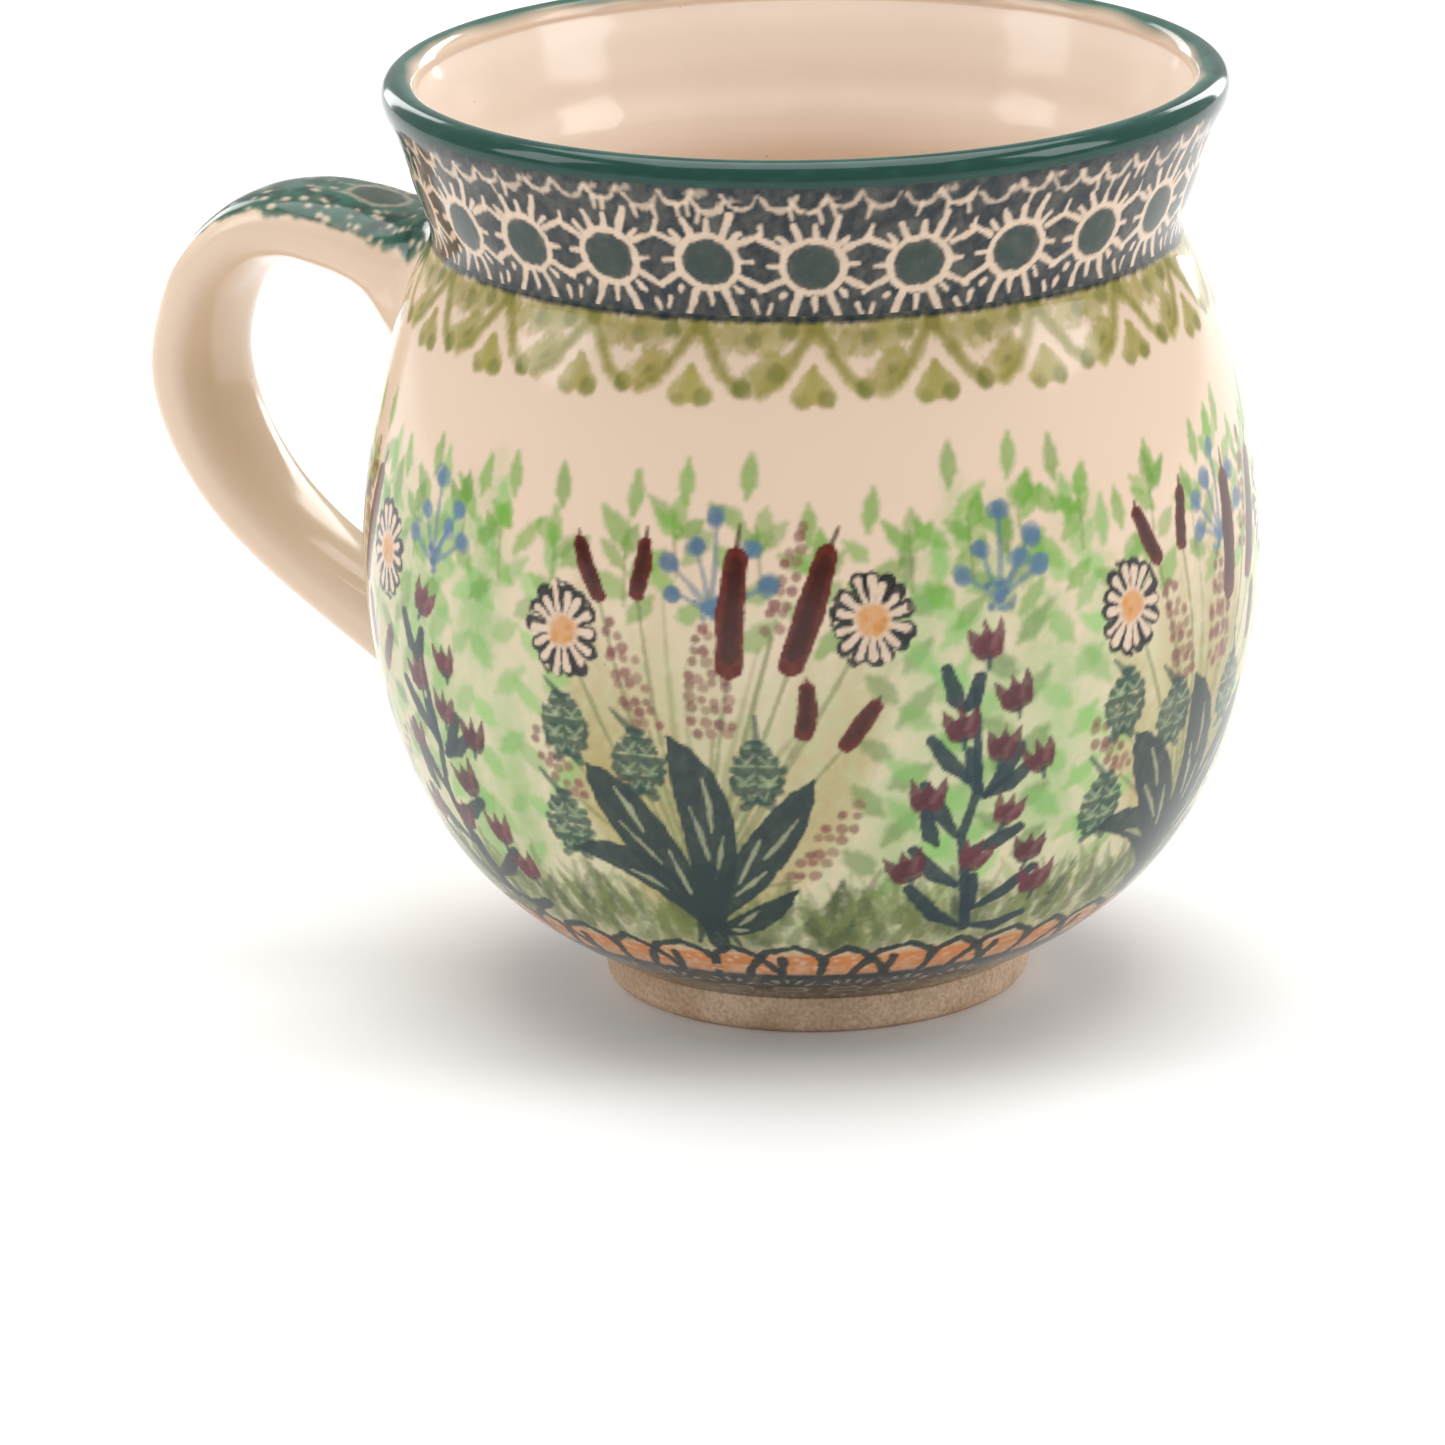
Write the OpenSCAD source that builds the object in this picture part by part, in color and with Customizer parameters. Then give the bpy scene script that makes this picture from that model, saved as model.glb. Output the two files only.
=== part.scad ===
// Round-bellied stoneware mug with a flared neck, a turned foot and a pulled strap handle.
// Millimetres. The cup's axis is Z, the foot stands on z = 0, and the handle points along -X.

/* [Overall] */
// Height from the table to the top of the lip
height = 100; // [92:1:110]
// Width across the belly
belly_d = 96; // [92:1:102]
// Width across the narrowest part of the neck
neck_d = 79.8; // [77:0.2:82]
// Width across the lip
rim_d = 89.6; // [87:0.2:93]

/* [Wall and foot] */
// Thickness of the wall, glazes and all
wall = 3.8; // [3.2:0.1:4.6]
// Thickness of the floor in the middle
floor_t = 4.4; // [3.6:0.1:5.4]
// Width across the top of the foot ring
foot_top_d = 47.4; // [46:0.2:50]
// Width across the bottom of the foot ring
foot_d = 45.6; // [43:0.2:45.8]
// Width of the hollow inside the foot ring
foot_hollow_d = 37; // [34:0.5:39]
// Height of the foot ring
foot_h = 4.2; // [3.6:0.1:5]

/* [Handle] */
// How far the handle reaches from the cup's axis
handle_reach = 77.8; // [75:0.2:82]
// Thickness of the strap, which the middle line's shares thin or thicken
strap_t = 7.2; // [6:0.2:8.4]
// Width of the strap at its outer bend
strap_w = 15.6; // [13:0.2:18]
// Squareness of the strap's section: 2 is an oval, more is squarer
strap_square = 2.5; // [2:0.1:3]

/* [Glaze] */
// Thickness of each coat of glaze
glaze_t = 0.4; // [0.3:0.05:0.6]
// Thickness of the slip that luted the handle on
slip_t = 0.8; // [0.5:0.1:1.2]

/* [Hidden] */
$fn = 96;

belly_r = belly_d / 2;
neck_r = neck_d / 2;
rim_r = rim_d / 2;
foot_top_r = foot_top_d / 2;
foot_r = foot_d / 2;
hollow_r = foot_hollow_d / 2;
lip_r = wall / 2;                 // radius of the rounded lip
neck_z = 0.83 * height;           // the narrowest part of the neck
lip_z = height - lip_r;           // centre of the rounded lip
flare_z = lip_z - 3;              // where the neck's flare begins to turn upright
foot_bevel = 0.8;                 // bevel round the ring's standing edge
steps = 4;                        // straight facets between two stations
lip_steps = 10;                   // facets round the half circle of the lip

// Stations of the outside from the foot to the lip: [height, radius]
stations = [
    [foot_h, foot_top_r],
    [0.08 * height, 0.62 * belly_r],
    [0.14 * height, 0.766 * belly_r],
    [0.24 * height, 0.9 * belly_r],
    [0.35 * height, 0.97 * belly_r],
    [0.48 * height, belly_r],
    [0.60 * height, 0.977 * belly_r],
    [0.72 * height, 0.919 * belly_r],
    [0.79 * height, neck_r + 0.19 * (belly_r - neck_r)],
    [neck_z, neck_r],
    [0.87 * height, neck_r + 0.22 * (rim_r - neck_r)],
    [flare_z, neck_r + 0.79 * (rim_r - neck_r)],
    [lip_z, rim_r]
];
last = len(stations) - 1;

// Slope of the outside at a station, from the stations on either side of it
function slope(i) =
    let (a = stations[max(i - 1, 0)], b = stations[min(i + 1, last)])
    (b[1] - a[1]) / (b[0] - a[0]);

// A smooth curve from station i to the next one, at t from 0 to 1: [radius, height]
function between(i, t) =
    let (a = stations[i], b = stations[i + 1], dz = b[0] - a[0], u = 1 - t)
    [(1 + 2 * t) * u * u * a[1] + t * u * u * dz * slope(i)
     + t * t * (3 - 2 * t) * b[1] - t * t * u * dz * slope(i + 1),
     a[0] + t * dz];

// The skin: one open line of [radius, height], up the outside, over the lip, down the inside
outside = [for (i = [0:last - 1], k = [0:steps - 1]) between(i, k / steps)];
lip = [for (k = [0:lip_steps])
    [rim_r - lip_r + lip_r * cos(180 * k / lip_steps), lip_z + lip_r * sin(180 * k / lip_steps)]];
inside_top = len(outside) - 3;
inside_floor = 9;                 // the inside follows the outside down to this point
floor_z = foot_h + floor_t;
inside = [for (i = [inside_top:-1:inside_floor]) set_in(outside, i, wall)];
floor_r = inside[len(inside) - 1][0];
floor_rise = inside[len(inside) - 1][1] - floor_z;
floor_steps = 6;
dish = [for (k = [1:floor_steps])
    let (a = 90 * k / floor_steps) [floor_r * cos(a), floor_z + floor_rise * (1 - sin(a))]];
skin = concat(outside, lip, inside, dish);
skin_end = len(skin) - 1;
lip_start = last * steps - 1;     // the lip glaze begins at this point of the skin
cup_top = lip_start - 2;          // the handle is cut by the cup up to this point
lip_end = len(outside) + lip_steps + 1;

// The line's left-hand normal at point i, which faces into the clay
function normal_in(line, i) =
    let (a = line[max(i - 1, 0)], b = line[min(i + 1, len(line) - 1)], d = b - a)
    [-d[1], d[0]] / norm(d);

// Point i of a line moved into the clay by d
function set_in(line, i, d) = line[i] + d * normal_in(line, i);

// The clay under the glaze: the skin set in by one coat, kept on the axis at its last point
clay = [for (i = [0:skin_end])
    i == 0 ? [foot_top_r - glaze_t, foot_h]
    : i == skin_end ? [0, floor_z - glaze_t]
    : set_in(skin, i, glaze_t)];

// A coat of glaze between two points of the skin
module coat(first, final) {
    rotate_extrude()
        polygon(concat([for (i = [first:final]) skin[i]], [for (i = [final:-1:first]) clay[i]]));
}

// The handle's middle line: [distance from the axis, height, thickness, width]
// The thickness and width are shares of the strap's own.
reach = handle_reach - strap_t / 2;
line = [
    [0.80 * neck_r, 0.735 * height, 2.40, 1.25],
    [1.00 * neck_r, 0.738 * height, 2.10, 1.20],
    [0.62 * reach, 0.7375 * height, 1.85, 1.12],
    [0.685 * reach, 0.7625 * height, 1.12, 1.07],
    [0.74 * reach, 0.7745 * height, 1.08, 1.04],
    [0.815 * reach, 0.78 * height, 0.98, 1.02],
    [0.89 * reach, 0.766 * height, 0.95, 1.02],
    [0.955 * reach, 0.72 * height, 0.95, 1.01],
    [0.99 * reach, 0.66 * height, 0.92, 1.00],
    [1.00 * reach, 0.60 * height, 0.92, 1.00],
    [0.975 * reach, 0.533 * height, 0.90, 0.96],
    [0.918 * reach, 0.467 * height, 0.88, 0.90],
    [0.838 * reach, 0.412 * height, 0.88, 0.84],
    [0.748 * reach, 0.368 * height, 0.95, 0.82],
    [0.66 * reach, 0.332 * height, 1.10, 0.85],
    [0.587 * reach, 0.304 * height, 1.25, 0.90],
    [0.52 * reach, 0.28 * height, 1.35, 0.94]
];
line_last = len(line) - 1;
ring_steps = 2;                   // rings between two points of the middle line
ring_points = 24;                 // points round one ring

// A smooth curve through the middle line's points, at t from 0 to line_last
function along(t) =
    let (i = min(floor(t), line_last - 1), u = t - i,
         p0 = line[max(i - 1, 0)], p1 = line[i], p2 = line[i + 1], p3 = line[min(i + 2, line_last)])
    (2 * p1 + (p2 - p0) * u + (2 * p0 - 5 * p1 + 4 * p2 - p3) * u * u
     + (3 * p1 - p0 - 3 * p2 + p3) * u * u * u) / 2;

function signed_power(v, p) = sign(v) * pow(abs(v), p);

// One ring of the strap at t, grown all round by grow
function ring(t, grow) =
    let (p = along(t), a = along(max(t - 0.1, 0)), b = along(min(t + 0.1, line_last)),
         d = [b[0] - a[0], b[1] - a[1]], n = [-d[1], d[0]] / norm(d),
         half_t = strap_t * p[2] / 2 + grow, half_w = strap_w * p[3] / 2 + grow,
         corner = 2 / strap_square)
    [for (k = [0:ring_points - 1])
        let (q = 360 * k / ring_points,
             u = half_t * signed_power(cos(q), corner),
             v = half_w * signed_power(sin(q), corner))
        [-(p[0] + n[0] * u), v, p[1] + n[1] * u]];

// The strap from inside the neck's wall to inside the belly's wall
module strap(grow = 0) {
    count = line_last * ring_steps + 1;
    points = [for (r = [0:count - 1]) each ring(r / ring_steps, grow)];
    sides = [for (r = [0:count - 2], k = [0:ring_points - 1])
        let (a = r * ring_points + k, b = r * ring_points + (k + 1) % ring_points)
        [a, a + ring_points, b + ring_points, b]];
    first_cap = [for (k = [0:ring_points - 1]) k];
    last_cap = [for (k = [ring_points - 1:-1:0]) (count - 1) * ring_points + k];
    polyhedron(points, concat(sides, [first_cap, last_cap]), convexity = 4);
}

// Everything inside the cup's outer clay surface, grown by grow
module cup_solid(grow) {
    rotate_extrude()
        polygon(concat([[0, foot_h / 2], [foot_top_r - 2 * glaze_t, foot_h / 2]],
                       [for (i = [1:cup_top]) set_in(skin, i, glaze_t - grow)],
                       [[0, skin[cup_top][1]]]));
}

// The biscuit-fired cup: wall and floor
module cup_body() {
    color("#dcc3a4")
        rotate_extrude()
            polygon(concat([[0, foot_h]], clay));
}

// The turned ring that the cup stands on
module foot_ring() {
    color("#cfa983")
        rotate_extrude()
            polygon([[hollow_r, foot_bevel], [hollow_r + foot_bevel, 0], [foot_r - foot_bevel, 0],
                     [foot_r, foot_bevel], [foot_top_r - glaze_t, foot_h], [hollow_r, foot_h]]);
}

// The pulled strap, cut back to leave room for the slip at both ends
module handle() {
    color("#dcc3a4")
        difference() {
            strap();
            cup_solid(slip_t);
        }
}

// The layer of slip at one end of the handle: up is 1 for the neck, -1 for the belly
module slip(up) {
    middle = 0.5 * height;
    color("#c9ab88")
        intersection() {
            difference() {
                intersection() {
                    strap();
                    cup_solid(slip_t);
                }
                cup_solid(0);
            }
            translate([-belly_r, 0, middle + up * middle / 2])
                cube([belly_d, belly_d, middle], center = true);
        }
}

module upper_slip() {
    slip(1);
}

module lower_slip() {
    slip(-1);
}

// Clear glaze over the outside, open where the handle is luted on
module outer_glaze() {
    color("#ead6bd")
        difference() {
            coat(0, lip_start);
            strap(glaze_t);
        }
}

// Coloured glaze round the lip
module lip_glaze() {
    color("#0f4a3c")
        coat(lip_start, lip_end);
}

// Clear glaze over the inside
module liner_glaze() {
    color("#ecd9c0")
        coat(lip_end, skin_end);
}

// Clear glaze round the strap
module handle_glaze() {
    color("#ead6bd")
        difference() {
            strap(glaze_t);
            strap();
            cup_solid(glaze_t);
        }
}

// Clear glaze on the underside, inside the foot ring
module base_glaze() {
    color("#e2cba9")
        translate([0, 0, foot_h - glaze_t])
            cylinder(h = glaze_t, r = hollow_r);
}

cup_body();
foot_ring();
handle();
upper_slip();
lower_slip();
outer_glaze();
lip_glaze();
liner_glaze();
handle_glaze();
base_glaze();
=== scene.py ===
# %% [markdown]
# # A hand-painted stoneware mug
# The mug was thrown and jiggered from pale stoneware, fired once to biscuit, painted and sponge-stamped
# with coloured clays, dipped in a clear glaze, and fired again. Here each coat becomes its own piece,
# laid over the measured solid, so the light meets the same layers in the same order.

import bpy
import numpy as np
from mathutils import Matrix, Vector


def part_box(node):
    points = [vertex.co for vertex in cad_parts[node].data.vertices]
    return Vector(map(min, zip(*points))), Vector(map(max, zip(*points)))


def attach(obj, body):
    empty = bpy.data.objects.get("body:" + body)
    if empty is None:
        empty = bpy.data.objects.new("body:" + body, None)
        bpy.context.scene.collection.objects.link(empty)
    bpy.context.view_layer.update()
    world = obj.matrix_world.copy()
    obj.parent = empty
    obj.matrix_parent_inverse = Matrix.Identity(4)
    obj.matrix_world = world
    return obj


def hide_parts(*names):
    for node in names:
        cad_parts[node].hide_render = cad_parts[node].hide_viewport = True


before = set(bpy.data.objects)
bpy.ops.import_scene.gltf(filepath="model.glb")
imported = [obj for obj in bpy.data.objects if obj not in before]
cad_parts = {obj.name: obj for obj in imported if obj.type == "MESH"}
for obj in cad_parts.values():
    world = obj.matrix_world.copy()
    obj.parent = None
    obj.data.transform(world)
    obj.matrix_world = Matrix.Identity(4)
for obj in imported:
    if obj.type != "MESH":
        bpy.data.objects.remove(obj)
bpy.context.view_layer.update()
MM = 0.001  # one millimetre in Blender's metres
print("solid nodes:", ", ".join(sorted(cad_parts)))

# %% [markdown]
# ## Where the eye stands
# A long lens from a metre away looks down on the mug by about 16 degrees, with the handle to the left.
# It comes first, because the detail worth painting depends on how near the eye is.

# %% The camera
CAMERA_FROM_AXIS_MM = 1000.0
CAMERA_ELEVATION = np.radians(15.64)
CAMERA_AZIMUTH = np.radians(26.0)
CAMERA_ROLL = np.radians(-1.047)
MIDDLE_HEIGHT_MM = 50.0
AIM_RIGHT_MM, AIM_HEIGHT_MM = -9.91, 27.82
LENS_MM, SENSOR_MM = 233.0, 36.0


def turned_about_axis(point, angle):
    """A point turned about the mug's upright axis."""
    x, y, z = point
    return np.array([x * np.cos(angle) - y * np.sin(angle), x * np.sin(angle) + y * np.cos(angle), z])


def place_camera():
    stand = np.array([0.0, -CAMERA_FROM_AXIS_MM * np.cos(CAMERA_ELEVATION),
                      MIDDLE_HEIGHT_MM + CAMERA_FROM_AXIS_MM * np.sin(CAMERA_ELEVATION)])
    aim = np.array([AIM_RIGHT_MM, 0.0, AIM_HEIGHT_MM])
    forward = (aim - stand) / np.linalg.norm(aim - stand)
    right = np.cross(forward, (0.0, 0.0, 1.0))
    right /= np.linalg.norm(right)
    up = np.cross(right, forward)
    right, up = (np.cos(CAMERA_ROLL) * right + np.sin(CAMERA_ROLL) * up,
                 np.cos(CAMERA_ROLL) * up - np.sin(CAMERA_ROLL) * right)
    columns = [turned_about_axis(v, CAMERA_AZIMUTH) for v in (right, up, -forward, stand * MM)]
    placed = np.eye(4)
    placed[:3, :] = np.array(columns).T
    data = bpy.data.cameras.new("camera")
    data.lens, data.sensor_width = LENS_MM, SENSOR_MM
    data.clip_start, data.clip_end = 0.05, 20.0
    camera = bpy.data.objects.new("camera", data)
    bpy.context.scene.collection.objects.link(camera)
    camera.matrix_world = placed.T.tolist()
    bpy.context.scene.camera = camera
    return camera


camera = place_camera()
print("camera at", [round(v, 3) for v in camera.matrix_world.translation])

# %% [markdown]
# ## The potter's outline
# A rib or template gave the mug one smooth outline. The sizes are read from the solid; the shares
# between them are the same as in the solid. A natural cubic spline runs through them, because its
# curvature has no steps, and a glossy glaze shows every step as a broken highlight.

# %% Measure the solid
glaze_low, glaze_high = (np.array(c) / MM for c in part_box("outer_glaze"))
lip_low, lip_high = (np.array(c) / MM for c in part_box("lip_glaze"))
strap_low, strap_high = (np.array(c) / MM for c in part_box("handle_glaze"))
foot_low, foot_high = (np.array(c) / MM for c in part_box("foot_ring"))
HEIGHT, BELLY_R, RIM_R = lip_high[2], glaze_high[0], lip_high[0]
FOOT_H, FOOT_TOP_R, LIP_BAND_Z = glaze_low[2], foot_high[0], glaze_high[2]
NECK_R, NECK_Z, WALL, GLAZE = 39.9, 83.0, 3.8, 0.4
LIP_R = WALL / 2
LIP_Z = HEIGHT - LIP_R
FLARE_Z = LIP_Z - 3.0  # where the flare begins to turn upright
print(f"height {HEIGHT:.1f}, belly {2 * BELLY_R:.1f}, rim {2 * RIM_R:.1f}, foot {2 * FOOT_TOP_R:.1f} mm")

# %% The outline as a smooth curve
OUTLINE = [  # height, radius
    (FOOT_H, FOOT_TOP_R), (0.08 * HEIGHT, 0.62 * BELLY_R), (0.14 * HEIGHT, 0.766 * BELLY_R),
    (0.24 * HEIGHT, 0.9 * BELLY_R), (0.35 * HEIGHT, 0.97 * BELLY_R), (0.48 * HEIGHT, BELLY_R),
    (0.60 * HEIGHT, 0.977 * BELLY_R), (0.72 * HEIGHT, 0.919 * BELLY_R),
    (0.79 * HEIGHT, NECK_R + 0.19 * (BELLY_R - NECK_R)), (NECK_Z, NECK_R),
    (0.87 * HEIGHT, NECK_R + 0.22 * (RIM_R - NECK_R)),
    (FLARE_Z, NECK_R + 0.79 * (RIM_R - NECK_R)), (LIP_Z, RIM_R)]
OUTLINE_SAMPLES = 4000


def spline_through(knots, end_direction=None, samples=OUTLINE_SAMPLES):
    """A cubic spline with continuous curvature, free at its start and free or aimed at its end."""
    knots = np.array(knots, float)
    t = np.concatenate([[0.0], np.cumsum(np.linalg.norm(np.diff(knots[:, :2], axis=0), axis=1))])
    h, n = np.diff(t), len(knots)
    system, target = np.zeros((n, n)), np.zeros_like(knots)
    system[0, 0] = system[-1, -1] = 1.0
    for i in range(1, n - 1):
        system[i, i - 1:i + 2] = h[i - 1], 2 * (h[i - 1] + h[i]), h[i]
        target[i] = 6 * ((knots[i + 1] - knots[i]) / h[i] - (knots[i] - knots[i - 1]) / h[i - 1])
    if end_direction is not None:
        system[-1, -2:] = h[-1], 2 * h[-1]
        target[-1] = 6 * (np.array(end_direction) - (knots[-1] - knots[-2]) / h[-1])
    bend = np.linalg.solve(system, target)
    x = np.linspace(0, t[-1], samples)
    i = np.clip(np.searchsorted(t, x, "right") - 1, 0, n - 2)
    a, b = ((t[i + 1] - x) / h[i])[:, None], ((x - t[i]) / h[i])[:, None]
    return a * knots[i] + b * knots[i + 1] + ((a**3 - a) * bend[i] + (b**3 - b) * bend[i + 1]) * (
        h[i] ** 2)[:, None] / 6


outline = spline_through(OUTLINE, end_direction=(1.0, 0.0))
outline_run = np.concatenate([[0.0], np.cumsum(np.linalg.norm(np.diff(outline, axis=0), axis=1))])


def run_at(height):
    """Distance along the outline, in mm from the foot, at a height."""
    return np.interp(height, outline[:, 0], outline_run)


def wall_radius(height):
    """Radius of the glazed outside at a height."""
    return np.interp(height, outline[:, 0], outline[:, 1])


print(f"outline is {outline_run[-1]:.1f} mm long, widest radius {outline[:, 1].max():.2f} mm")

# %% [markdown]
# ## Colours
# Underglaze colours are metal oxides in clay: chromium and copper greens, cobalt blue, iron browns and
# manganese mauve. They're written as sRGB hex, as a colour chart gives them, and one function turns
# them into the linear values that light is reckoned in.

# %% The palette


def linear(hex_colour):
    """An sRGB hex colour as linear red, green and blue."""
    srgb = np.array([int(hex_colour[i:i + 2], 16) for i in (1, 3, 5)]) / 255
    return np.where(srgb <= 0.04045, srgb / 12.92, ((srgb + 0.055) / 1.055) ** 2.4)


GROUND = linear("#e3cab2")  # white slip under clear glaze, warmed by the clay below it
GREEN_BLACK, SUN_GREEN, CELL_TEAL = linear("#10221d"), linear("#1a3a31"), linear("#11242a")
LACE_OLIVE, LACE_SOFT, LACE_DARK = linear("#827c33"), linear("#a29650"), linear("#636a28")
WASH_OLIVE, WASH_GREEN, WASH_PALE = linear("#a8975c"), linear("#86b268"), linear("#b4c494")
LEAF_GREEN, LEAF_LIGHT, MOSS = linear("#6a9e38"), linear("#7fb45e"), linear("#5f8440")
GRASS, GRASS_DARK, STEM = linear("#6f7c40"), linear("#45552f"), linear("#69733f")
INK, DAISY_GOLD, CAT_BROWN, CAT_RED = linear("#14111a"), linear("#cc8220"), linear("#2a0602"), linear("#5c1103")
BERRY_BLUE, LUPIN_MAUVE, BUD_TEAL = linear("#50708c"), linear("#78393a"), linear("#1c4038")
LEAF_TEAL, TULIP_PLUM, LEAF_NAVY = linear("#162f30"), linear("#5d2531"), linear("#15303a")
AMBER, BORDER_TEAL, PETAL_PALE = linear("#cc7f3c"), linear("#142c2d"), linear("#9a9f8e")
SLIT_PALE = linear("#a3a684")
print("ground, linear:", GROUND.round(3))

# %% [markdown]
# ## A sheet to paint on
# The painter works on the curved wall itself, so the painting is made on the wall's own grid: one
# point of colour every quarter millimetre, in rows round the axis. It could be drawn with shader nodes,
# but hundreds of brush marks make a slow, tangled node tree. A mesh that holds a colour at every point
# is simple, is seen from all sides, and leaves this script with the mesh. Every mark is one kind of
# stroke: a line with a width that may change, a soft edge, and the tremble of a hand or a sponge.

# %% The painted sheet


def cloudy(shape, cell_mm, grain_mm, seed):
    """A smooth random field with a spread of one, its clouds about grain_mm across."""
    rough = np.random.default_rng(seed).standard_normal(shape)
    fy, fx = np.fft.fftfreq(shape[0], cell_mm), np.fft.rfftfreq(shape[1], cell_mm)
    keep = np.exp(-((fy[:, None] ** 2 + fx[None, :] ** 2) * (grain_mm * 1.6) ** 2))
    soft = np.fft.irfft2(np.fft.rfft2(rough) * keep, s=shape)
    return soft / soft.std()


class Sheet:
    """A grid of colours on a turned or swept surface: columns go round, rows go along it."""

    def __init__(self, columns, runs, radii, heights, seed):
        self.columns, self.runs, self.radii, self.heights = columns, runs, radii, heights
        self.step = runs[1] - runs[0]
        self.colour = np.tile(GROUND, (len(runs), columns, 1))
        shape = (len(runs), columns)
        self.tremble = 0.55 * cloudy(shape, self.step, 1.1, seed) + 0.45 * cloudy(shape, self.step, 0.45, seed + 1)
        self.mottle = 0.6 * cloudy(shape, self.step, 1.4, seed + 2) + 0.4 * cloudy(shape, self.step, 0.5, seed + 3)

    def spot(self, angle, height):
        """Turns millimetres right and up from a place on the sheet into its angle and height."""
        degree = np.pi / 180 * np.interp(height, self.heights, self.radii)
        return lambda x, y: (angle + x / degree, height + y)

    def stroke(self, points, widths, colour, strength=1.0, soft=0.15, rough=0.06, uneven=0.05):
        """Paints a line through points of (angle, height), of changing width in mm."""
        points = np.atleast_2d(np.array(points, float))
        widths = np.broadcast_to(np.array(widths, float), (len(points),)) / 2
        run = np.interp(points[:, 1], self.heights, self.runs)
        mid_angle, mid_run = points[:, 0].mean(), run.mean()
        degree = np.pi / 180 * np.interp(mid_run, self.runs, self.radii)
        x, y = (points[:, 0] - mid_angle) * degree, run - mid_run
        reach = widths.max() + soft + 4 * rough
        top = int((mid_run + y.max() + reach - self.runs[0]) / self.step) + 2
        low = int((mid_run + y.min() - reach - self.runs[0]) / self.step)
        low, top = max(low, 0), min(top, len(self.runs))
        per_degree = self.columns / 360
        left = int(np.floor((mid_angle + (x.min() - reach) / degree) * per_degree))
        right = int(np.ceil((mid_angle + (x.max() + reach) / degree) * per_degree)) + 1
        if top <= low:
            return
        rows, cols = np.arange(low, top), np.arange(left, right)
        px = ((cols / per_degree - mid_angle) * degree)[None, :]
        py = (self.runs[rows] - mid_run)[:, None]
        cols = cols % self.columns
        field = np.full((len(rows), cols.size), 1e3)
        for i in range(max(len(points) - 1, 1)):
            j = min(i + 1, len(points) - 1)
            dx, dy = x[j] - x[i], y[j] - y[i]
            along = np.clip(((px - x[i]) * dx + (py - y[i]) * dy) / max(dx * dx + dy * dy, 1e-9), 0, 1)
            far = np.hypot(px - x[i] - along * dx, py - y[i] - along * dy)
            field = np.minimum(field, far - widths[i] - along * (widths[j] - widths[i]))
        field += rough * self.tremble[low:top][:, cols]
        cover = np.clip(0.5 - field / (2 * soft), 0, 1)
        cover = cover * cover * (3 - 2 * cover) * strength
        cover *= np.clip(1 - uneven * (1 + self.mottle[low:top][:, cols]), 0, 1)
        under = self.colour[low:top][:, cols]
        self.colour[low:top, cols] = under + (colour - under) * cover[..., None]

    def dot(self, place, width, colour, *how):
        """One round dab; how is its strength, softness, roughness and unevenness."""
        self.stroke([place], width, colour, *how)

    def wash(self, low, high, fade_low, fade_high, colour, strength, patchiness=0.3):
        """A band of thin colour that fades at its lower and upper height."""
        h = np.interp(self.runs, self.runs, self.heights)
        cover = np.clip((h - low) / fade_low, 0, 1) * np.clip((high - h) / fade_high, 0, 1)
        cover = strength * cover[:, None] * np.clip(1 + patchiness * self.mottle, 0, 1.6)
        self.colour += (colour - self.colour) * np.clip(cover, 0, 1)[..., None]


hand = np.random.default_rng(2026)


def varied(colour, amount=0.10):
    """A colour as a brush or sponge really leaves it: a little more or less of it each time."""
    return colour * (1 + amount * hand.uniform(-1, 1)) * (1 + 0.3 * amount * hand.uniform(-1, 1, 3))


BELLY_COLUMNS, NECK_COLUMNS, POINT_MM = 1200, 1320, 0.26


def sheet_on_wall(low, high, columns, seed):
    rows = int(round((run_at(high) - run_at(low)) / POINT_MM)) + 1
    runs = np.linspace(run_at(low), run_at(high), rows)
    heights = np.interp(runs, outline_run, outline[:, 0])
    return Sheet(columns, runs, np.interp(runs, outline_run, outline[:, 1]), heights, seed)


belly = sheet_on_wall(FOOT_H, NECK_Z, BELLY_COLUMNS, 11)
neck = sheet_on_wall(NECK_Z, LIP_BAND_Z, NECK_COLUMNS, 31)
print("belly sheet", belly.colour.shape[:2], "neck sheet", neck.colour.shape[:2])

# %% [markdown]
# ## The stamped sun band
# Round the neck a sponge stamp left 24 suns: a green disc in a ring of bare slip, with rays of bare
# slip between dark teal cells. The band could be a texture repeated 24 times, but no two prints of a
# sponge agree. So the band is filled with dark colour first, and each sun's rays are then taken out of
# it with strokes that tremble.

# %% Stamp the suns
SUNS, SUN_Z, FIRST_SUN, SUN_PITCH = 24, 88.7, 0.9, 15.0
BAND_LOW, LOOP_Z = 82.0, 94.9
SUN_RAYS = [  # from, to, width in mm, from the middle of the sun
    ((1.7, 3.0), (2.6, 5.6), 0.8), ((-1.5, 3.1), (-2.1, 4.7), 0.8), ((0.1, 3.4), (0.2, 4.7), 0.7),
    ((3.2, 2.1), (5.5, 3.2), 0.75), ((-3.2, 2.1), (-5.5, 3.2), 0.75), ((5.5, 3.2), (5.7, 4.4), 0.5),
    ((3.3, -1.5), (5.6, -2.8), 0.75), ((-3.3, -1.5), (-5.6, -2.8), 0.75),
    ((3.4, 0.2), (4.6, 0.2), 0.6), ((-3.4, 0.1), (-4.6, 0.1), 0.6),
    ((2.6, 2.5), (3.5, 3.4), 0.6), ((-2.6, 2.5), (-3.5, 3.4), 0.6),
    ((1.5, -3.1), (2.5, -5.8), 0.75), ((-1.5, -3.1), (-2.5, -5.8), 0.75), ((0.0, -3.4), (0.0, -4.8), 0.65),
    ((3.2, -3.1), (3.4, -3.4), 0.6), ((-3.2, -3.1), (-3.4, -3.4), 0.6),
    ((2.7, -2.6), (3.0, -2.9), 0.45), ((4.5, -4.4), (4.9, -5.4), 0.5), ((-4.6, -4.2), (-4.9, -5.2), 0.5)]


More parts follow.
